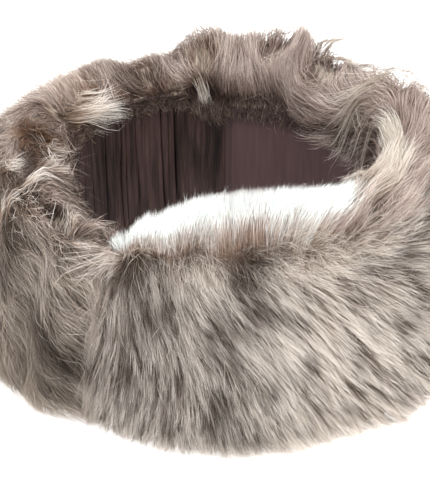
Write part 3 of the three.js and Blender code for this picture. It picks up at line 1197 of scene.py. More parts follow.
class FurBed:
    """Grows the strands of one zone and makes them one mesh."""

    def __init__(self, form: FurForm, zone: FurZone) -> None:
        """Keeps the fur's form and the zone's sizes."""
        self.form = form
        self.zone = zone
        self.rng = np.random.default_rng(zone.seed)
        self.steps = np.linspace(0, 1, zone.segments + 1)

    def grow(self) -> Strands:
        """Grows every strand of the zone.

        Returns:
            The strands.
        """
        z, rng, steps = self.zone, self.rng, self.steps
        t, u = self._thinned(*self._roots())
        n, locks = len(t), self._locks(t, u)
        wisp, lock, group = (found.own for found in locks)
        fly = rng.random(n) < z.flyaway
        length = rng.uniform(*z.length, n) * (1 + 0.06 * lock[:, 0] + 0.06 * group[:, 0])
        top = rng.uniform(*z.loft, n) + 0.05 * fly + self._swell(locks)
        turned = rng.normal(0, z.stray, n) + 0.05 * wisp[:, 2] + 0.07 * lock[:, 2]
        turned += 0.09 * group[:, 2] + fly * rng.normal(0, 0.5, n)
        angle, place, loft = self._stations(t, u, locks, length, turned, top)
        fluff = z.fluff * rng.gamma(1.1, 1.0, (n, 1)) * (1 + 1.5 * fly[:, None])
        paths = self.form.point(angle, place, loft, fluff * steps**2)
        if z.flow is Flow.RISE:
            paths[..., 2] += read_rows(RISE_EDGE, angle) * steps**1.6
        outward = self.form.outward(paths, angle)
        size = z.curl * rng.gamma(2.0, 0.5, (n, 1)) * steps**1.1 * (1 + 1.2 * fly[:, None])
        phase = rng.normal(0, 0.8, (n, 1)) + 1.2 * wisp[:, 3:] + 1.8 * lock[:, 3:]
        spin = phase + 2 * math.pi * z.turns * rng.uniform(0.6, 1.4, (n, 1)) * steps
        paths = settled(waved(paths, outward, size, spin), 0.2 + 0.5 * rng.random((n, 1)))
        turn = rng.uniform(-1, 1, (n, 1)) * z.twist * (1 + 0.4 * steps)
        facing = ribbon_sides(paths, outward, turn)
        own = self._own_tone(locks, fly, t, u)
        tone = self._streaked(angle, place, locks[0], length) + own[:, None]
        if z.flow is Flow.RISE:
            sheer = eased((angle - 160) / 12) * eased((222 - angle) / 20)
            tone -= 0.7 * sheer * eased((place - 0.70) / 0.04)
        return Strands(paths, facing, self._widths(n), np.clip(tone, *TONE_LIMITS))

    def _thinned(self, t: Array, u: Array) -> tuple[Array, Array]:
        """Keeps the zone's share of the wisps, fewer of them where the coat is pale."""
        z = self.zone
        if z.share >= 1:
            return t, u
        heading = FIELDS[z.flow].heading(t, u)
        wisp = Locks(self.form, *z.cell, z.seed + LOCK_SEED).find(t, u, heading)
        odds = z.share * np.clip(1.5 - 1.1 * CoatPattern().tone(t, u), 0.25, 1)
        kept = wisp.grain[:, 7] < odds
        return t[kept], u[kept]

    def _locks(self, t: Array, u: Array) -> list[Lock]:
        """The wisp, the lock and the group of locks of each root."""
        z = self.zone
        up = np.full_like(t, math.pi)
        heading = up if z.flow is Flow.RISE else FIELDS[z.flow].heading(t, u)
        return [
            Locks(self.form, z.cell[0] * k, z.cell[1] * j, z.seed + LOCK_SEED + i).find(t, u, heading)
            for i, (k, j) in enumerate(LOCK_SCALES)
        ]

    def _swell(self, locks: list[Lock]) -> Array:
        """Share of the loft by which each strand's lock stands above or below the rest."""
        wisp, lock, group = (found.own for found in locks)
        uneven = 0.2 if self.zone.flow is Flow.RISE else 1.0
        swell = 0.035 if self.zone.flow is Flow.RIM else 0.014
        depth = 0.014 * wisp[:, 1] + 0.016 * lock[:, 1] + swell * group[:, 1]
        depth = uneven * (depth - 0.05 * locks[1].edge() - 0.018 * locks[0].edge())
        return np.clip(depth, -0.09, 0.045)

    def _stations(
        self, t: Array, u: Array, locks: list[Lock], length: Array, turned: Array, top: Array
    ) -> tuple[Array, Array, Array]:
        """Walks the strands along their flow, drawn together into their locks.

        Args:
            t: Degrees round the oval of each root.
            u: Place on the outline of each root.
            locks: The wisp, lock and group of each root.
            length: Length of each strand, in mm.
            turned: Turn of each strand from the flow, in radians.
            top: Loft of each tip.

        Returns:
            Degrees, u and loft of every strand at every station.
        """
        z = self.zone
        low, high = z.rise
        end = high - np.minimum(self.rng.gamma(1.5, 0.024, len(t)), high - low)
        start_t, start_u = t, u
        shown = []
        for v in self.steps:
            drawn = [share * v**1.1 for share in z.draw]
            shift_t = sum(k * found.to_angle for k, found in zip(drawn, locks))
            shift_u = sum(k * found.to_u for k, found in zip(drawn, locks))
            if z.flow is Flow.RISE:
                t = start_t + (0.9 * turned * 12 + self._rise_lean(start_t)) * v**1.3
                u, shift_u = start_u + (end - start_u) * v, 0.0
            loft = z.root_loft + (top - z.root_loft) * (1 - (1 - v) ** 2)
            shown.append((t + shift_t, np.clip(u + shift_u, 0.0, 1.2), loft))
            if z.flow is not Flow.RISE:
                t, u = self._step(t, u, length / z.segments, turned)
        angle, place, loft = (np.stack([row[k] for row in shown], 1) for k in range(3))
        return angle, place, loft

    def _own_tone(self, locks: list[Lock], fly: Array, t: Array, u: Array) -> Array:
        """Each strand's own shift of tone, from its locks, its root and chance."""
        z = self.zone
        wisp, lock, group = (found.own for found in locks)
        own = z.tones[0] * wisp[:, 0] + z.tones[1] * lock[:, 0] + z.tones[2] * group[:, 0]
        own += z.noise * self.rng.standard_normal(len(t)) + 0.12 * fly
        # painted shade in the gaps between locks: strands near a lock's edge are darker
        own -= z.gap * (locks[1].edge() + 0.5 * locks[0].edge() - 0.45)
        if z.flow is Flow.RISE:
            own += 4.0 * (u - 0.537) + self._rise_tone(t)
            own -= 0.5 * eased((176 - t) / 10) * (self.rng.random(len(t)) < 0.3)
        return own

    def _streaked(self, angle: Array, place: Array, wisp: Lock, length: Array) -> Array:
        """Tone of the coat at every station, broken into dark and pale runs of hair."""
        z = self.zone
        tone = CoatPattern().tone(angle, place) + z.shade
        tone = np.clip(0.5 + (tone - 0.5) * z.contrast, *TONE_LIMITS)
        streaks = z.streaks * (0.5 + 0.5 * eased((place - 0.12) / 0.2))
        pale = 0.35 * streaks + (1 - 0.4 * streaks) * tone
        dark = tone + (0.07 - tone) * streaks
        odds = (pale - tone) / np.maximum(pale - dark, 0.05)
        grain = self._grain(wisp, length[:, None] * self.steps)
        return pale + (dark - pale) * eased((odds - grain) / 0.08 + 0.5)

    def _grain(self, wisp: Lock, run: Array) -> Array:
        """Even random numbers that change every few millimetres along each wisp.

        Args:
            wisp: The smallest lock of each strand.
            run: Millimetres from the root at every station.

        Returns:
            A number from 0 to 1 for every station.
        """
        cell = (run - wisp.ahead[:, None] + 6.0) / self.zone.grain
        return np.take_along_axis(wisp.grain, np.clip(cell, 0, 7).astype(int), 1)

    def _roots(self) -> tuple[Array, Array]:
        """Roots spread evenly over the outer form."""
        z, rng = self.zone, self.rng
        many = z.count * 6
        t, u = rng.uniform(*z.span, many), rng.uniform(*z.roots, many)
        reach, _ = self.form.outline(t, u)
        area = self.form.per_u(t, u) * self.form.oval.per_degree(t, reach)
        keep = rng.random(many) < area / np.quantile(area, 0.98)
        t, u = t[keep][: z.count], u[keep][: z.count]
        near = np.exp(-(((u - 0.5) / 0.06) ** 2))
        wander = 0.022 * noise(t / 3.0, t * 0, 61) + 0.012 * noise(t / 0.9, t * 0, 62)
        return t, u + near * (wander + 0.018 * rng.standard_normal(len(t)))

    def _rise_tone(self, angle: Array) -> Array:
        """Paler and darker stretches along the foot of the upright wool."""
        return read_rows(RISE_TONES, angle + 1.2 * noise(angle / 2.0, angle * 0, 63))

    def _rise_lean(self, angle: Array) -> Array:
        """Lean of the upright wool toward growing angle, in degrees of the oval."""
        return 20.0 * eased((angle - 203) / 28) - 5.0 * eased((172 - angle) / 14)

    def _step(self, t: Array, u: Array, step: Array, turned: Array) -> tuple[Array, Array]:
        """Moves each strand one step along the sweep of its flow."""
        heading = FIELDS[self.zone.flow].heading(t, u) + turned
        reach, _ = self.form.outline(t, u)
        du = np.cos(heading) * step / self.form.per_u(t, u)
        dt = np.sin(heading) * step / self.form.oval.per_degree(t, np.maximum(reach, 5.0))
        low = np.minimum(u, self.rng.uniform(0.02, 0.09, len(u)))
        high = np.maximum(u, self.rng.uniform(0.99, 1.10, len(u)))
        return t + dt, np.clip(u - du, low, high)

    def _widths(self, n: int) -> Array:
        """Width of every strand at every station, in mm."""
        shape = np.interp(self.steps, (0, 0.35, 0.75, 1), (0.8, 1.0, 0.75, 0.1))
        return self.zone.width * self.rng.uniform(0.6, 1.4, (n, 1)) * shape

    def build(self) -> bpy.types.Object:
        """Grows the zone and makes its mesh.

        Returns:
            The finished piece.
        """
        z = self.zone
        return seat(ribbon_mesh(z.name, self.grow(), z.finish), z.node)


@dataclass(frozen=True)
class Tuft:
    """A lock that stands out of the coat.

    Its path is (degrees, u, lift in mm) from root to tip; spreads are in mm at both ends.
    """

    path: tuple[tuple[float, float, float], ...]
    count: int
    spread: float
    fan: float
    tone: float
    curl: float = 0.8
    turns: float = 0.5
    width: float = 0.28
    ragged: float = 0.3
    locks: int = 9


FRONT_TUFTS = (
    # the pale ridge where the rim turns to the wearer's right
    Tuft(((234, 0.66, 0), (250, 0.72, 3), (266, 0.76, 4), (281, 0.81, 3)), 240, 6, 8, 0.96, 0.8),
    Tuft(((246, 0.70, 0), (262, 0.76, 3), (276, 0.81, 4), (289, 0.86, 3)), 240, 5, 8, 0.97, 0.8),
    Tuft(((260, 0.74, 0), (273, 0.80, 3), (285, 0.84, 4), (296, 0.88, 4)), 170, 5, 8, 0.92, 0.9),
    Tuft(((238, 0.62, 0), (251, 0.66, 2), (264, 0.69, 3), (277, 0.71, 3)), 120, 5, 8, 0.82, 0.8),
    Tuft(((254, 0.76, 0), (247, 0.76, 3), (241, 0.77, 4), (236, 0.81, 3)), 70, 3, 5, 0.70, 2.4, 1.4),
    # white hairs that hang in over the lining
    Tuft(((300, 0.76, 0), (314, 0.80, 4), (330, 0.84, 4)), 44, 7, 12, 0.96, 1.2, 0.5, 0.22, 0.3, 5),
    Tuft(((300, 0.78, 0), (314, 0.86, 5), (329, 0.94, 4)), 40, 7, 14, 0.96, 1.2, 0.5, 0.22, 0.3, 5),
    Tuft(((298, 0.80, 0), (310, 0.92, 5), (322, 1.08, 4)), 40, 7, 14, 0.92, 1.2, 0.5, 0.22, 0.3, 6),
    Tuft(((294, 0.82, 0), (301, 0.95, 5), (309, 1.14, 4)), 36, 7, 14, 0.86, 1.2, 0.5, 0.22, 0.3, 6),
    # curls that stand off the far rim
    Tuft(((339, 0.80, 0), (338, 0.72, 7), (336, 0.66, 15)), 70, 3, 2.6, 0.60, 1.2, 0.5, 0.24, 0.3, 5),
    Tuft(((341, 0.78, 0), (343, 0.70, 5), (341, 0.64, 12)), 50, 2, 2.6, 0.50, 1.2, 0.5, 0.24, 0.3, 5),
    Tuft(((337, 0.79, 2), (330, 0.75, 6), (322, 0.76, 5)), 40, 1.5, 2.4, 0.92, 1.6, 0.6, 0.22, 0.3, 3),
    Tuft(((330, 0.76, 0), (326, 0.69, 5), (318, 0.68, 6)), 70, 4, 8, 0.46, 2.2, 0.9, 0.16, 0.5, 9),
    Tuft(((322, 0.74, 0), (318, 0.68, 5), (312, 0.68, 7)), 50, 3, 8, 0.64, 1.6, 0.7, 0.16, 0.5, 9),
    Tuft(((307, 0.74, 0), (309, 0.68, 5), (312, 0.64, 9)), 30, 3, 7, 0.70, 1.6, 0.6, 0.16, 0.5, 9),
    Tuft(((303, 0.72, 0), (299, 0.66, 5), (294, 0.64, 6)), 30, 3, 7, 0.60, 1.6, 0.6, 0.16, 0.5, 9),
)
BACK_TUFTS = (
    # the white lick over the gathered lining
    Tuft(((86, 0.82, 0), (77, 0.86, 3), (68, 0.93, 6), (54, 0.88, 8)), 120, 3, 8, 0.94, 1.2),
    Tuft(((85, 0.83, 0), (76, 0.90, 3), (66, 1.00, 6), (50, 1.05, 8)), 150, 3, 8, 0.96, 1.2),
    Tuft(((84, 0.84, 0), (76, 0.94, 3), (69, 1.04, 5), (60, 1.08, 6)), 70, 3, 5, 0.92, 1.0),
    Tuft(((84, 0.82, 0), (75, 0.86, 4), (65, 0.93, 7), (52, 0.98, 9)), 90, 3, 8, 0.97, 1.2),
    # the tuft that hangs from the far edge
    Tuft(((23, 0.86, 0), (20, 0.93, 4), (16, 1.05, 3)), 50, 4, 4, 0.80, 1.6, 0.6, 0.22, 0.3, 5),
    Tuft(((19, 0.86, 0), (18, 0.93, 4), (17, 1.03, 3)), 24, 3, 4, 0.66, 1.8, 0.6, 0.22, 0.3, 4),
    # pale locks of the puffed wool, some of them over the near end of the gathered lining
    Tuft(((114, 0.74, 0), (108, 0.86, 3), (102, 0.96, 6)), 60, 4, 7, 0.66, 1.2, 0.5, 0.24, 0.3, 6),
    Tuft(((126, 0.72, 0), (120, 0.82, 4), (112, 0.95, 7)), 100, 4, 9, 0.96, 1.4, 0.5, 0.24, 0.3, 6),
    Tuft(((120, 0.54, 0), (125, 0.66, 3), (129, 0.76, 6)), 80, 4, 8, 0.90, 1.8, 0.5, 0.24, 0.3, 6),
    Tuft(((127, 0.58, 0), (130, 0.67, 3), (132, 0.75, 5)), 46, 5, 10, 0.88, 2.4, 0.8, 0.2, 0.5, 12),
    Tuft(((139, 0.58, 0), (141, 0.67, 4), (136, 0.80, 6)), 84, 4, 10, 0.97, 1.9, 0.6, 0.22, 0.5, 10),
    Tuft(((145, 0.55, 0), (144, 0.62, 3), (139, 0.70, 5)), 54, 4, 10, 0.84, 2.2, 0.7, 0.2, 0.5, 10),
    Tuft(((114, 0.53, 0), (114, 0.63, 3), (118, 0.71, 5)), 70, 4, 8, 0.90, 1.8, 0.5, 0.24, 0.3, 6),
    Tuft(((128, 0.41, 0), (124, 0.46, 2), (126, 0.54, 4)), 60, 4, 8, 0.90, 1.8, 0.5, 0.24, 0.3, 5),
    # the cream fan beside the seam
    Tuft(((160, 0.60, -2), (156, 0.53, 2), (148, 0.47, 3)), 120, 6, 12, 0.74, 0.9, 0.5, 0.22),
    Tuft(((160, 0.56, -2), (157, 0.49, 2), (151, 0.42, 3)), 110, 6, 11, 0.68, 0.9, 0.5, 0.22),
    Tuft(((161, 0.52, -2), (160, 0.45, 1), (157, 0.37, 2)), 90, 6, 9, 0.58, 0.9, 0.5, 0.22),
)


@dataclass(frozen=True)
class Wisps:
    """Long single hairs that cross the coat round one place, at any heading."""

    angle: float
    u: float
    half_angle: float
    half_u: float
    count: int
    length: float
    tone: float
    heading: float = 0.0
    spread: float = 180.0
    lift: float = 2.6


FRONT_WISPS = (
    Wisps(352, 0.86, 22, 0.07, 50, 34, 0.80, -40, 50),
    Wisps(330, 0.84, 16, 0.08, 40, 30, 0.88, 90, 60),
    Wisps(243, 0.53, 10, 0.035, 110, 24, 0.95, 120, 80),
    Wisps(228, 0.50, 10, 0.03, 110, 20, 0.90, 80, 70),
    Wisps(190, 0.51, 26, 0.03, 50, 16, 0.80, 0, 60),
    Wisps(216, 0.55, 9, 0.03, 150, 22, 0.88, 105, 50),
    Wisps(186, 0.54, 18, 0.02, 90, 13, 0.76, 180, 50),
    Wisps(166, 0.55, 6, 0.03, 60, 8, 0.90, 160, 100),
    Wisps(201, 0.525, 6, 0.03, 70, 14, 0.12, 180, 50),
    Wisps(210, 0.30, 45, 0.16, 60, 22, 0.86, 40, 16),
    Wisps(250, 0.36, 20, 0.10, 60, 22, 0.92, 60, 18),
    # fine down that stands off the outline
    Wisps(336, 0.72, 38, 0.08, 700, 16, 0.60, 10, 60, 9.0),
    Wisps(270, 0.62, 30, 0.10, 120, 15, 0.85, 60, 40, 7.0),
)
BACK_WISPS = (
    Wisps(122, 0.54, 12, 0.08, 150, 11, 0.96, 130, 120),
    Wisps(136, 0.46, 9, 0.08, 50, 18, 0.92, 110, 80),
    Wisps(104, 0.80, 12, 0.08, 50, 16, 0.80, 160, 60),
    Wisps(30, 0.86, 16, 0.06, 30, 26, 0.66, 0, 60),
    Wisps(75, 0.45, 60, 0.25, 80, 26, 0.74, 20, 40),
    Wisps(148, 0.28, 12, 0.10, 50, 24, 0.80, 64, 14),
    Wisps(38, 0.72, 30, 0.08, 500, 16, 0.52, 10, 60, 10.0),
    Wisps(85, 0.62, 26, 0.12, 700, 16, 0.55, -10, 70, 10.0),
)


@dataclass
class TuftBed:
    """Grows the tufts and wisps of one panel and makes them one mesh."""

    form: FurForm
    name: str
    tufts: tuple[Tuft, ...]
    wisps: tuple[Wisps, ...]
    finish: WoolFinish
    node: str
    slot: str
    seed: int
    stations: int = 8
    per_degree: float = 1.9
    gather: float = 0.72
    path_samples: int = 41
    path_passes: int = 60
    down_lift: float = 4.0

    def __post_init__(self) -> None:
        """Starts the random numbers."""
        self.rng = np.random.default_rng(self.seed)
        self.steps = np.linspace(0, 1, self.stations)

    def _tuft(self, tuft: Tuft) -> Strands:
        """Grows one tuft along its path."""
        rng, n = self.rng, tuft.count
        knots = np.array(tuft.path, float)
        begin = rng.uniform(0, tuft.ragged, (n, 1))
        close = rng.uniform(1 - tuft.ragged, 1.0, (n, 1))
        v = begin + (close - begin) * self.steps
        at = np.linspace(0, 1, len(knots))
        smooth = self._smoothed(knots, at, v)
        lock = rng.integers(0, tuft.locks, n)
        centre = rng.normal(0, 0.5, (tuft.locks, 1, 2))[lock]
        bend = rng.normal(0, 0.3, (tuft.locks, 1, 2))[lock]
        own = rng.normal(0, 0.3, (n, 1, 2))
        spread = tuft.spread + (tuft.fan - tuft.spread) * v[..., None]
        off = (centre + bend * v[..., None] ** 2 + own * (1 - self.gather * v[..., None])) * spread
        angle = smooth[..., 0] + off[..., 0] / self.per_degree
        u = smooth[..., 1] + off[..., 1] / self.form.per_u(angle, smooth[..., 1])
        lift = smooth[..., 2] + rng.normal(0, 0.12, (n, 1)) * spread[..., 0] * v
        paths = self.form.point(angle, np.clip(u, 0, 1.24), np.ones_like(u), lift)
        size = tuft.curl * rng.gamma(2, 0.5, (n, 1)) * v
        shade = rng.normal(0, 0.10, (tuft.locks, 1))[lock] + rng.normal(0, 0.07, (n, 1))
        tone = np.broadcast_to(tuft.tone + shade, v.shape)
        return self._finish(paths, angle, size, tuft.turns, tuft.width, tone)

    def _smoothed(self, knots: Array, at: Array, v: Array) -> Array:
        """Reads a path smoothly between its knots."""
        fine = np.linspace(0, 1, self.path_samples)
        line = np.stack([np.interp(fine, at, knots[:, k]) for k in range(3)], 1)
        for _ in range(self.path_passes):
            line[1:-1] = 0.5 * line[1:-1] + 0.25 * (line[:-2] + line[2:])
        return np.stack([np.interp(v, fine, line[:, k]) for k in range(3)], -1)

    def _wisp(self, wisp: Wisps) -> Strands:
        """Grows the long single hairs of one place."""
        rng, n = self.rng, wisp.count
        t = wisp.angle + wisp.half_angle * rng.uniform(-1, 1, n)
        u = wisp.u + wisp.half_u * rng.uniform(-1, 1, n)
        heading = np.radians(wisp.heading + wisp.spread * rng.uniform(-1, 1, n))
        bend = rng.normal(0, 0.10, n)
        length = wisp.length * rng.uniform(0.6, 1.3, n)
        angles, places = [], []
        for _ in self.steps:
            angles.append(t)
            places.append(np.clip(u, 0.02, 1.2))
            reach, _ = self.form.outline(t, u)
            step = length / len(self.steps)
            u = u - np.cos(heading) * step / self.form.per_u(t, u)
            t = t + np.sin(heading) * step / self.form.oval.per_degree(t, np.maximum(reach, 5))
            heading = heading + bend
        angle, place = np.stack(angles, 1), np.stack(places, 1)
        high = rng.uniform(0.4, 1.0, (n, 1)) * wisp.lift
        down = wisp.lift >= self.down_lift
        arc = self.steps**1.5 if down else np.sin(math.pi * (0.15 + 0.75 * self.steps))
        lift = -1.0 + high * arc
        paths = self.form.point(angle, place, np.ones_like(angle), lift)
        size = 0.7 * rng.gamma(2, 0.5, (n, 1)) * self.steps
        tone = np.broadcast_to(wisp.tone + rng.normal(0, 0.05, (n, 1)), size.shape)
        return self._finish(paths, angle, size, 0.6, 0.2 if down else 0.14, tone)

    def _finish(
        self, paths: Array, angle: Array, size: Array, turns: float, width: float, tone: Array
    ) -> Strands:
        """Waves strands and gives them their widths.

        Args:
            paths: The strands, in mm.
            angle: Degrees round the oval at every station.
            size: Size of the waves at every station, in mm.
            turns: Waves along a strand.
            width: Mean width, in mm.
            tone: Tone of each strand at every station.

        Returns:
            The finished strands.
        """
        rng, n = self.rng, len(paths)
        outward = self.form.outward(paths, angle)
        spin = rng.normal(0, 1.0, (n, 1)) + 2 * math.pi * turns * self.steps
        paths = settled(waved(paths, outward, size, spin), 0.5)
        turn = rng.uniform(-1, 1, (n, 1)) * (1.0 + 0.5 * self.steps)
        shape = np.interp(self.steps, (0, 0.3, 0.75, 1), (0.7, 1.0, 0.7, 0.12))
        widths = width * rng.uniform(0.6, 1.4, (n, 1)) * shape
        sides = ribbon_sides(paths, outward, turn)
        return Strands(paths, sides, widths, np.clip(tone, *TONE_LIMITS))

    def build(self) -> bpy.types.Object:
        """Grows every tuft and wisp and makes their mesh.

        Returns:
            The finished piece.
        """
        grown = [self._tuft(t) for t in self.tufts] + [self._wisp(w) for w in self.wisps]
        parts = ("paths", "facing", "widths", "tones")
        joined = Strands(*(np.concatenate([getattr(g, k) for g in grown]) for k in parts))
        return seat(ribbon_mesh(self.name, joined, self.finish), self.node)


def placed(name: str, data: bpy.types.ID) -> bpy.types.Object:
    """A new object in the scene that shows some data."""
    made = bpy.data.objects.new(name, data)
    bpy.context.collection.objects.link(made)
    return made


WOOLS: dict[str, bpy.types.Material] = {}


def wool(finish: WoolFinish) -> bpy.types.Material:
    """Material of a wool, made once."""
    if finish.name not in WOOLS:
        WOOLS[finish.name] = finish.make()
    return WOOLS[finish.name]


def ribbon_mesh(name: str, strands: Strands, finish: WoolFinish) -> bpy.types.Object:
    """One mesh of tapering ribbons, each ending in a point.

    Args:
        name: Name of the piece.
        strands: The strands to draw.
        finish: The wool's finish.

    Returns:
        The new object, with a map of tone across and length upward.
    """
    paths, side = strands.paths * MM, strands.facing
    n, stations = paths.shape[:2]
    half = strands.widths[..., None] * MM / 2
    left = paths[:, :-1] - side[:, :-1] * half[:, :-1]
    right = paths[:, :-1] + side[:, :-1] * half[:, :-1]
    pairs = np.stack([left, right], 2).reshape(n, -1, 3)
    verts = np.concatenate([pairs, paths[:, -1:]], 1)
    per = verts.shape[1]
    quads = stations - 2
    corner = np.array([[2 * k, 2 * k + 1, 2 * k + 3, 2 * k + 2] for k in range(quads)])
    tip = np.array([2 * quads, 2 * quads + 1, 2 * quads + 2])
    pattern = np.concatenate([corner.ravel(), tip])
    loops = (np.arange(n)[:, None] * per + pattern[None]).ravel()
    totals = np.tile(np.array([4] * quads + [3]), n)
    starts = np.concatenate([[0], np.cumsum(totals)[:-1]])
    along = np.linspace(0, 1, stations)
    v = np.concatenate([np.repeat(along[:-1], 2), along[-1:]])
    across = np.tile([-0.003, 0.003], stations - 1).tolist() + [0.0]
    spread = np.concatenate([np.repeat(strands.tones[:, :-1], 2, 1), strands.tones[:, -1:]], 1)
    uv_u = np.clip(spread + np.array(across)[None], 0.001, 0.999)
    uv = np.stack([uv_u, np.broadcast_to(0.005 + 0.99 * v, uv_u.shape)], -1).reshape(-1, 2)
    mesh = bpy.data.meshes.new(name)
    mesh.vertices.add(n * per)
    mesh.vertices.foreach_set("co", verts.astype(np.float32).ravel())
    mesh.loops.add(len(loops))
    mesh.loops.foreach_set("vertex_index", loops.astype(np.int32))
    mesh.polygons.add(len(totals))
    mesh.polygons.foreach_set("loop_start", starts.astype(np.int32))
    mesh.polygons.foreach_set("loop_total", totals.astype(np.int32))
    layer = mesh.uv_layers.new(name="OFBake")
    layer.data.foreach_set("uv", uv[loops].astype(np.float32).ravel())
    mesh.update(calc_edges=True)
    mesh.polygons.foreach_set("use_smooth", np.ones(len(totals), bool))
    mesh.materials.append(wool(finish))
    return placed(name, mesh)


# ---- undercoat ---------------------------------------------------------------------------


def seat(piece: bpy.types.Object, node: str) -> bpy.types.Object:
    """Carries a piece on the band in place of a node."""
    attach(piece, "root")
    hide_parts(node)
    return piece


def clear_selection() -> None:
    """Deselects everything."""
    bpy.ops.object.select_all(action="DESELECT")


@contextmanager
def editing() -> Iterator[None]:
    """Edit mode on the active piece, with all of it selected."""
    bpy.ops.object.mode_set(mode="EDIT")
    bpy.ops.mesh.select_all(action="SELECT")
    yield
    bpy.ops.object.mode_set(mode="OBJECT")


def new_grid(name: str, columns: int, rows: int) -> bpy.types.Object:
    """A flat grid from 0 to 1 both ways, ready to be shaped.

    Args:
        name: Name of the piece.
        columns: Faces along x.
        rows: Faces along y.

    Returns:
        The grid, selected and active.
    """
    clear_selection()
    bpy.ops.mesh.primitive_grid_add(x_subdivisions=columns, y_subdivisions=rows, size=1)
    piece = bpy.context.object
    piece.name = piece.data.name = name
    with editing():
        bpy.ops.transform.translate(value=(0.5, 0.5, 0))
    return piece


def read_points(piece: bpy.types.Object) -> Array:
    """Vertex positions of a piece."""
    points = np.empty(len(piece.data.vertices) * 3)
    piece.data.vertices.foreach_get("co", points)
    return points.reshape(-1, 3)


def write_points(piece: bpy.types.Object, points: Array) -> None:
    """Moves the vertices of a piece."""
    piece.data.vertices.foreach_set("co", points.ravel())
    piece.data.update()


@dataclass
class Undercoat:
    """Dense body of wool under the long strands of one panel."""

    form: FurForm
    name: str
    node: str
    slot: str
    start: float
    end: float
    finish: UndercoatFinish
    columns: int = 110
    rows: int = 44
    outer_share: float = 0.86
    depth: float = 0.76
    rim_depth: float = 0.80
    lump: float = 1.6

    def build(self) -> bpy.types.Object:
        """Shapes and dresses the body.

        Returns:
            The finished piece.
        """
        piece = new_grid(self.name, self.columns, self.rows)
        flat = read_points(piece)
        angle = self.start + (self.end - self.start) * flat[:, 0]
        write_points(piece, self._shape(angle, flat[:, 1]) * MM)
        self._mark(piece, angle, np.clip(flat[:, 1] / self.outer_share, 0, 1))
        with editing():
            bpy.ops.mesh.remove_doubles(threshold=1e-6)
            bpy.ops.mesh.select_all(action="SELECT")
            bpy.ops.mesh.fill_holes(sides=0)
            bpy.ops.mesh.select_all(action="SELECT")
            bpy.ops.mesh.normals_make_consistent(inside=False)
        bpy.ops.object.shade_smooth()
        piece.data.materials.clear()
        piece.data.materials.append(self.finish.make())
        return seat(piece, self.node)

    def _mark(self, piece: bpy.types.Object, angle: Array, u: Array) -> None:
        """Stores the wool's tone and a map that runs along its hairs."""
        tone = np.clip(CoatPattern().tone(angle, u), 0, 1)
        layer = piece.data.attributes.new("tone", "FLOAT", "POINT")
        layer.data.foreach_set("value", tone.astype(np.float32))
        along = self.form.along(angle, u)
        lean = np.tan(np.clip(FIELDS[Flow.COAT].heading(angle, u), -1.1, 1.1))
        across = angle * MM_PER_DEGREE + along * lean * eased((0.55 - u) / 0.1)
        flow = np.stack([across / 1.1, along / 14.0, angle * 0.0], -1)
        layer = piece.data.attributes.new("flow", "FLOAT_VECTOR", "POINT")
        layer.data.foreach_set("vector", flow.astype(np.float32).ravel())

    def _shape(self, angle: Array, y: Array) -> Array:
        """Carries the flat grid round the panel: y runs round its section."""
        u = np.clip(y / self.outer_share, 0, 1)
        depth = self.depth + (self.rim_depth - self.depth) * eased((u - 0.46) / 0.14)
        outer = self.form.point(angle, u, depth)
        outer += self.form.outward(outer, angle) * self._lumps(angle, u)[:, None]
        down = (y - self.outer_share) / (1 - self.outer_share)
        start = np.minimum(110, self.form.lining_top(angle) - 2)
        inner_height = start + (14 - start) * np.clip(down, 0, 1)
        inner = self.form.oval.place(angle, np.full_like(angle, 2.2), inner_height)
        points = np.where((down > 0)[:, None], inner, outer)
        closing = y > 0.999
        none = np.zeros(closing.sum())
        points[closing] = self.form.point(angle[closing], none, none + self.depth)
        points[:, 2] = np.maximum(points[:, 2], 0.0)
        return points

    def _lumps(self, angle: Array, u: Array) -> Array:
        """Unevenness of the body, in mm."""
        lumps = noise(angle / 5, u * 14, 5) + 0.5 * noise(angle / 2, u * 30, 6)
        return self.lump * lumps * np.sin(math.pi * np.clip(u, 0, 1))


# ---- linings -----------------------------------------------------------------------------


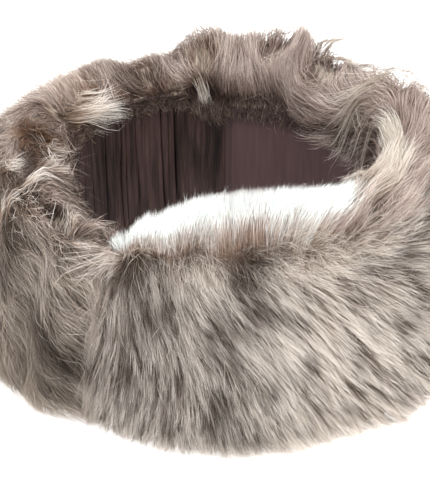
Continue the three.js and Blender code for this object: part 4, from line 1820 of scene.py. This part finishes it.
@dataclass
class Lining:
    """The two cloth strips that face the head."""

    form: FurForm
    bottom: float = 12.0
    wall: float = 1.1
    face: float = 0.5
    pleats: int = 36
    pleat_depth: float = 3.2
    fullness: float = 1.55

    def build(self) -> list[bpy.types.Object]:
        """Builds both strips and their stitching.

        Returns:
            The plain strip, the gathered strip and the stitches.
        """
        plain, gathered = self._plain(), self._gathered()
        oval = self.form.oval
        front_arc = oval.arc(oval.left_seam, oval.right_seam + 360) * MM
        back_arc = oval.arc(oval.right_seam, oval.left_seam) * MM
        return [plain, gathered, Stitching(self.form).build()]

    def _finish(
        self, piece: bpy.types.Object, points: Array, crease: Array, cloth: ClothFinish
    ) -> bpy.types.Object:
        """Places a strip, gives it its thickness and dresses it.

        Args:
            piece: The flat grid.
            points: Where its vertices go, in mm.
            crease: Painted shade at each vertex, from 0 to 1: in the folds and under the fur's edge.
            cloth: Its finish; its name picks the node that the strip replaces.

        Returns:
            The finished strip.
        """
        write_points(piece, points * MM)
        piece.data.uv_layers.active.name = "OFBake"
        # the crease attribute holds the painted shade for the cloth's colour
        layer = piece.data.attributes.new("crease", "FLOAT", "POINT")
        layer.data.foreach_set("value", np.clip(crease, 0, 1).astype(np.float32))
        solid = piece.modifiers.new("wall", "SOLIDIFY")
        solid.thickness = self.wall * MM
        solid.offset = 0.0
        bpy.ops.object.modifier_apply(modifier=solid.name)
        bpy.ops.object.shade_smooth()
        piece.data.materials.clear()
        piece.data.materials.append(cloth.make())
        node = "lining_front" if cloth.name == "plain_lining" else "lining_back"
        return seat(piece, node)

    def _plain(self) -> bpy.types.Object:
        """The plain strip inside the front panel."""
        oval = self.form.oval
        start, end = oval.left_seam + 0.1, oval.right_seam + 359.9
        piece = new_grid("lining_plain", 120, 16)
        flat = read_points(piece)
        angle, share = start + (end - start) * flat[:, 0], flat[:, 1]
        top = self.form.plain_top + 0.5 * noise(angle / 9, share * 0, 31)
        height = self.bottom + (top - self.bottom) * share
        soft = 0.5 * noise(angle / 14, share * 1.2, 32) + 0.2 * noise(angle / 5, share * 2, 33)
        pucker = np.exp(-((angle - end + 2.2) ** 2)) + np.exp(-((angle - start - 2.2) ** 2))
        reach = self.face + 0.35 + soft * 0.5 + 0.5 * pucker
        cloth = ClothFinish(
            "plain_lining", crease="302223", shade="493435", light="553f40", thread=0.0006,
            roughness=0.75, specular=0.2, sheen=0.1, length=oval.arc(start, end) * MM, height=0.1,
        )
        # painted shade: darker in the hollows of the soft wrinkles, in the puckers by the seams and
        # along the top edge where the fur shades it
        crease = 0.25 * np.clip(-soft, 0, 1) + 0.35 * pucker + eased((share - 0.86) / 0.12)
        return self._finish(piece, oval.place(angle, reach, height), crease, cloth)

    def _gathered(self) -> bpy.types.Object:
        """The pleated strip inside the back panel."""
        oval = self.form.oval
        start, end = oval.right_seam + 0.1, oval.left_seam - 0.1
        piece = new_grid("lining_gathered", 460, 12)
        flat = read_points(piece)
        angle, share = start + (end - start) * flat[:, 0], flat[:, 1]
        height = self.bottom + (self.form.lining_top(angle) - self.bottom) * share
        fold = self._folds(flat[:, 0], share)
        edge = eased(np.minimum(angle - start, end - angle) / 2.0)
        reach = self.face + 0.4 - self.pleat_depth * fold * edge
        cloth = ClothFinish(
            "gathered_lining", crease="050303", shade="211615", light="513e3a", thread=0.0005,
            roughness=0.5, specular=0.12, sheen=0.0, length=oval.arc(start, end) * MM, height=0.113,
        )
        # painted shade in the pleats' creases, toward the near-black crease colour
        crease = np.clip(1.25 - 1.6 * fold, 0, 1) * edge
        return self._finish(piece, oval.place(angle, reach, height), crease, cloth)

    def _folds(self, along: Array, share: Array) -> Array:
        """Height of the pleats, from 0 in a crease to about 1 on a ridge."""
        drift = 1.5 * noise(along * 9, share * 0.0, 41) + 0.6 * noise(along * 30, share * 2.4, 42)
        phase = along * self.pleats + drift
        ridge = np.abs(np.sin(math.pi * phase))
        row = lattice(43)[np.floor(phase + 0.5).astype(int) % 64, 7]
        depth = np.where(row > -0.2, 1.0, 0.4) * (0.85 + 0.15 * row)
        fine = np.abs(np.sin(math.pi * (along * 110 + 1.5 * noise(along * 22, share * 2.6, 44))))
        broad = 0.30 * noise(along * 15, share * 1.6, 46)
        crease = depth * (1 - np.minimum(ridge * 1.35, 1.0) ** 0.6)
        return np.clip(0.84 - 0.9 * crease + broad - 0.22 * (1 - fine), 0.0, 1.1)


@dataclass
class Stitching:
    """Short machine stitches beside the two seams of the lining."""

    form: FurForm
    stitch: float = 2.4
    gap: float = 1.6
    thick: float = 0.5
    beside: float = 3.6
    face: float = 0.1
    lowest: float = 17
    run: float = 92

    def build(self) -> bpy.types.Object:
        """Models one stitch and copies it down each seam.

        Returns:
            The joined stitches.
        """
        clear_selection()
        bpy.ops.mesh.primitive_uv_sphere_add(segments=8, ring_count=6, radius=0.5)
        first = bpy.context.object
        with editing():
            size = (self.thick * MM, self.thick * MM, self.stitch * MM)
            bpy.ops.transform.resize(value=size)
        shape = read_points(first)
        polygons = [list(p.vertices) for p in first.data.polygons]
        bpy.data.objects.remove(first)
        verts, faces = [], []
        for seam, way in ((self.form.oval.right_seam, -1.0), (self.form.oval.left_seam, 1.0)):
            angle = seam + way * self.beside / 1.45
            for k in range(int(self.run / (self.stitch + self.gap))):
                height = self.lowest + k * (self.stitch + self.gap)
                at = self.form.oval.place(np.array(angle), np.array(self.face), np.array(height))
                faces += [[i + len(verts) for i in p] for p in polygons]
                verts += (shape + at * MM).tolist()
        mesh = bpy.data.meshes.new("lining_stitches")
        mesh.from_pydata(verts, [], faces)
        mesh.polygons.foreach_set("use_smooth", np.ones(len(faces), bool))
        mesh.materials.append(ThreadFinish().make())
        piece = placed("lining_stitches", mesh)
        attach(piece, "root")
        return piece


# ---- the fur panels ----------------------------------------------------------------------


@dataclass
class Fur:
    """All the wool of the headband: the undercoats and the beds of strands."""

    form: FurForm

    def zones(self) -> list[FurZone]:
        """The beds of strands, in the order they are grown."""
        front = {"slot": "front_fur", "node": "fur_front_panel"}
        back = {"slot": "back_fur", "node": "fur_back_panel"}
        far = {"length": (26, 40), "cell": (2.5, 8), "fluff": 1.0}
        rim = {
            "flow": Flow.RIM, "length": (20, 34), "root_loft": 0.72, "loft": (0.965, 1.02),
            "cell": (2.2, 9.0), "curl": 0.7, "stray": 0.09, "fluff": 1.6, "width": 0.25,
            "tones": (0.05, 0.07, 0.06), "noise": 0.05, "streaks": 0.6, "gap": 0.22,
            "draw": (0.5, 0.3, 0.12), "segments": 4,
        }
        puff = {
            "length": (15, 27), "stray": 0.22, "fluff": 2.4, "gap": 0.30, "streaks": 0.8,
            "draw": (0.45, 0.22, 0.1),
        }
        brown = {"length": (7, 14), "root_loft": 0.9, "loft": (0.99, 1.03)}
        # hem beds: real hair over the lining's edge, darkened as painted shade there
        hem = {
            "flow": Flow.HEM, "root_loft": 0.9, "loft": (0.98, 1.02), "width": 0.36,
            "stray": 0.35, "curl": 1.2, "streaks": 0.3,
        }
        return [
            FurZone(
                "front_coat_near", COAT, Flow.COAT, (158, 210), (0.07, 0.508), 24500,
                seed=21, **front,
            ),
            FurZone(
                "front_coat_brow", COAT, Flow.COAT, (207, 285), (0.07, 0.515), 25000,
                seed=22, **front,
            ),
            FurZone(
                "front_coat_far", COAT, Flow.COAT, (280, 372), (0.07, 0.64), 12500,
                width=0.5, curl=0.8, seed=23, **far, **front,
            ),
            # dark strands along the coat: painted shade of the narrow gaps between pale locks, where
            # the darker roots also show
            FurZone(
                "front_guard_hairs", COAT, Flow.COAT, (158, 292), (0.15, 0.51), 12500,
                (9, 17), root_loft=0.93, loft=(0.995, 1.012), draw=(0.93, 0.0, 0.0),
                cell=(2.0, 9.0), width=0.17, curl=0.25, twist=0.5, shade=-0.75, streaks=0.0,
                gap=0.0, fluff=0.3, share=0.52, seed=36, **front,
            ),
            FurZone(
                "front_rim_snow", SNOW_TIPS, Flow.RISE, (158, 230), (0.475, 0.64), 13500,
                root_loft=0.76, loft=(0.96, 1.02), draw=(0.3, 0.15, 0.0), curl=0.6,
                turns=0.4, twist=1.0, width=0.26, noise=0.10, stray=0.12,
                tones=(0.10, 0.16, 0.12), streaks=0.4, fluff=0.1, seed=24, **front,
            ),
            FurZone(
                "front_parting", COAT, Flow.COAT, (159, 250), (0.465, 0.545), 3000,
                (8, 17), root_loft=0.90, loft=(0.98, 1.01), width=0.18, stray=0.5,
                fluff=0.9, curl=0.8, seed=33, **front,
            ),
            FurZone(
                "front_rim_inner", RIM_COAT, Flow.RIM, (158, 232), (0.80, 0.99), 4000,
                (16, 26), width=0.5, shade=0.1, streaks=0.4, seed=28, **front,
            ),
            FurZone(
                "front_rim_far", RIM_COAT, span=(222, 373), roots=(0.50, 0.99),
                count=20800, seed=25, **(rim | {"streaks": 0.45}), **front,
            ),
            FurZone(
                "front_hem", HEM_COAT, span=(250, 371), roots=(0.92, 1.0), count=2200,
                length=(6, 13), seed=31, **hem, **front,
            ),
            FurZone(
                "back_coat_near", BACK_COAT, Flow.COAT, (108, 162), (0.07, 0.56), 13500,
                (22, 36), curl=0.6, width=0.24, fluff=0.8, seed=26, **back,
            ),
            FurZone(
                "back_coat_far", BACK_COAT, Flow.COAT, (8, 112), (0.07, 0.64), 9200,
                width=0.55, curl=0.9, seed=29, **far, **back,
            ),
            FurZone(
                "back_rim", PUFF_COAT, span=(7, 161), roots=(0.54, 0.99), count=17200,
                seed=27, **(rim | puff), **back,
            ),
            FurZone(
                "back_brown", BROWN, span=(98, 110), roots=(0.72, 0.86), count=700,
                seed=34, **(rim | puff | brown), **back,
            ),
            FurZone(
                "back_brown_far", BROWN, span=(56, 70), roots=(0.74, 0.86), count=260,
                seed=35, **(rim | puff | brown), **back,
            ),
            FurZone(
                "back_hem", HEM_COAT, span=(10, 158), roots=(0.92, 1.02), count=4200,
                length=(10, 22), seed=32, **hem, **back,
            ),
        ]

    def tuft_beds(self) -> list[TuftBed]:
        """The tufts and wisps of both panels."""
        front, back = ("fur_front_panel", "front_fur"), ("fur_back_panel", "back_fur")
        return [
            TuftBed(self.form, "front_tufts", FRONT_TUFTS, FRONT_WISPS, CREAM, *front, 51),
            TuftBed(self.form, "back_tufts", BACK_TUFTS, BACK_WISPS, BACK_CREAM, *back, 52),
        ]

    def undercoats(self) -> list[Undercoat]:
        """The two dense bodies under the strands."""
        oval = self.form.oval
        return [
            Undercoat(
                self.form, "front_undercoat", "fur_front_panel", "front_fur",
                oval.left_seam + 0.1, oval.right_seam + 359.9,
                UndercoatFinish("front_undercoat", "3a2f2a", "c4b6a8"),
            ),
            Undercoat(
                self.form, "back_undercoat", "fur_back_panel", "back_fur",
                oval.right_seam + 0.1, oval.left_seam - 0.1,
                UndercoatFinish("back_undercoat", "332924", "b8a898"),
            ),
        ]

    def build(self) -> list[bpy.types.Object]:
        """Builds every body and bed of strands.

        Returns:
            The finished pieces.
        """
        pieces = [coat.build() for coat in self.undercoats()]
        pieces += [FurBed(self.form, zone).build() for zone in self.zones()]
        return pieces + [bed.build() for bed in self.tuft_beds()]


# ---- studio ------------------------------------------------------------------------------


@dataclass
class Studio:
    """Pale floor, soft lights and the camera; lengths in metres, angles in degrees."""

    azimuth: float = -75.0
    elevation: float = 36.0
    distance: float = 1.0
    aim: tuple[float, float, float] = (0.0, 0.0, 0.060)
    lens: float = 116.6
    shift_x: float = -0.006
    floor_size: float = 14.0

    def build(self) -> None:
        """Sets up the floor, the lights and the camera."""
        self._floor()
        self._sky()
        self._area("key", (-1.0, -1.3, 1.9), 1.2, 46.0)
        self._area("fill", (-1.6, 1.2, 1.3), 1.6, 18.0)
        self._area("top", (0.3, 0.1, 2.2), 1.4, 34.0)
        self._camera()

    def _direction(self) -> Vector:
        """Unit vector from the aim to the camera."""
        a, e = math.radians(self.azimuth), math.radians(self.elevation)
        return Vector((math.sin(a) * math.cos(e), -math.cos(a) * math.cos(e), math.sin(e)))

    def _camera(self) -> None:
        """Places the camera."""
        data = bpy.data.cameras.new("camera")
        data.lens = self.lens
        data.shift_x = self.shift_x
        data.clip_start = 0.05
        camera = placed("camera", data)
        back = self._direction()
        camera.location = Vector(self.aim) + back * self.distance
        camera.rotation_euler = back.to_track_quat("Z", "Y").to_euler()
        bpy.context.scene.camera = camera

    def _area(self, name: str, place: tuple, size: float, power: float) -> None:
        """Adds a square soft light that faces the headband."""
        data = bpy.data.lights.new(name, "AREA")
        data.size = size
        data.energy = power
        light = placed(name, data)
        light.location = place
        toward = Vector(place) - Vector(self.aim)
        light.rotation_euler = toward.to_track_quat("Z", "Y").to_euler()

    def _sky(self) -> None:
        """Lights the whole scene evenly and palely."""
        world = bpy.data.worlds.new("studio")
        world.use_nodes = True
        background = world.node_tree.nodes["Background"]
        background.inputs["Color"].default_value = (1.0, 0.985, 0.975, 1.0)
        background.inputs["Strength"].default_value = 0.62
        bpy.context.scene.world = world
        bpy.context.scene.view_settings.view_transform = "Standard"

    def _floor(self) -> None:
        """Adds the plain floor."""
        clear_selection()
        bpy.ops.mesh.primitive_plane_add(size=self.floor_size)
        floor = bpy.context.object
        floor.name = "floor"
        maker = NodeMaker("floor")
        maker.shader.inputs["Base Color"].default_value = (0.96, 0.955, 0.95, 1.0)
        maker.shader.inputs["Emission Color"].default_value = (1.0, 0.995, 0.99, 1.0)
        maker.surface(roughness=0.9, emission_strength=0.7)
        floor.data.materials.append(maker.material)


def main() -> None:
    """Builds the headband and its studio."""
    logging.basicConfig(level=logging.INFO, format="%(name)s: %(message)s")
    Studio().build()
    form = FurForm()
    total = 0
    for piece in Fur(form).build() + Lining(form).build():
        triangles = sum(len(p.vertices) - 2 for p in piece.data.polygons)
        total += triangles
        LOG.info("%s: %d triangles", piece.name, triangles)
    LOG.info("all pieces: %d triangles", total)


if __name__ == "__main__":
    main()
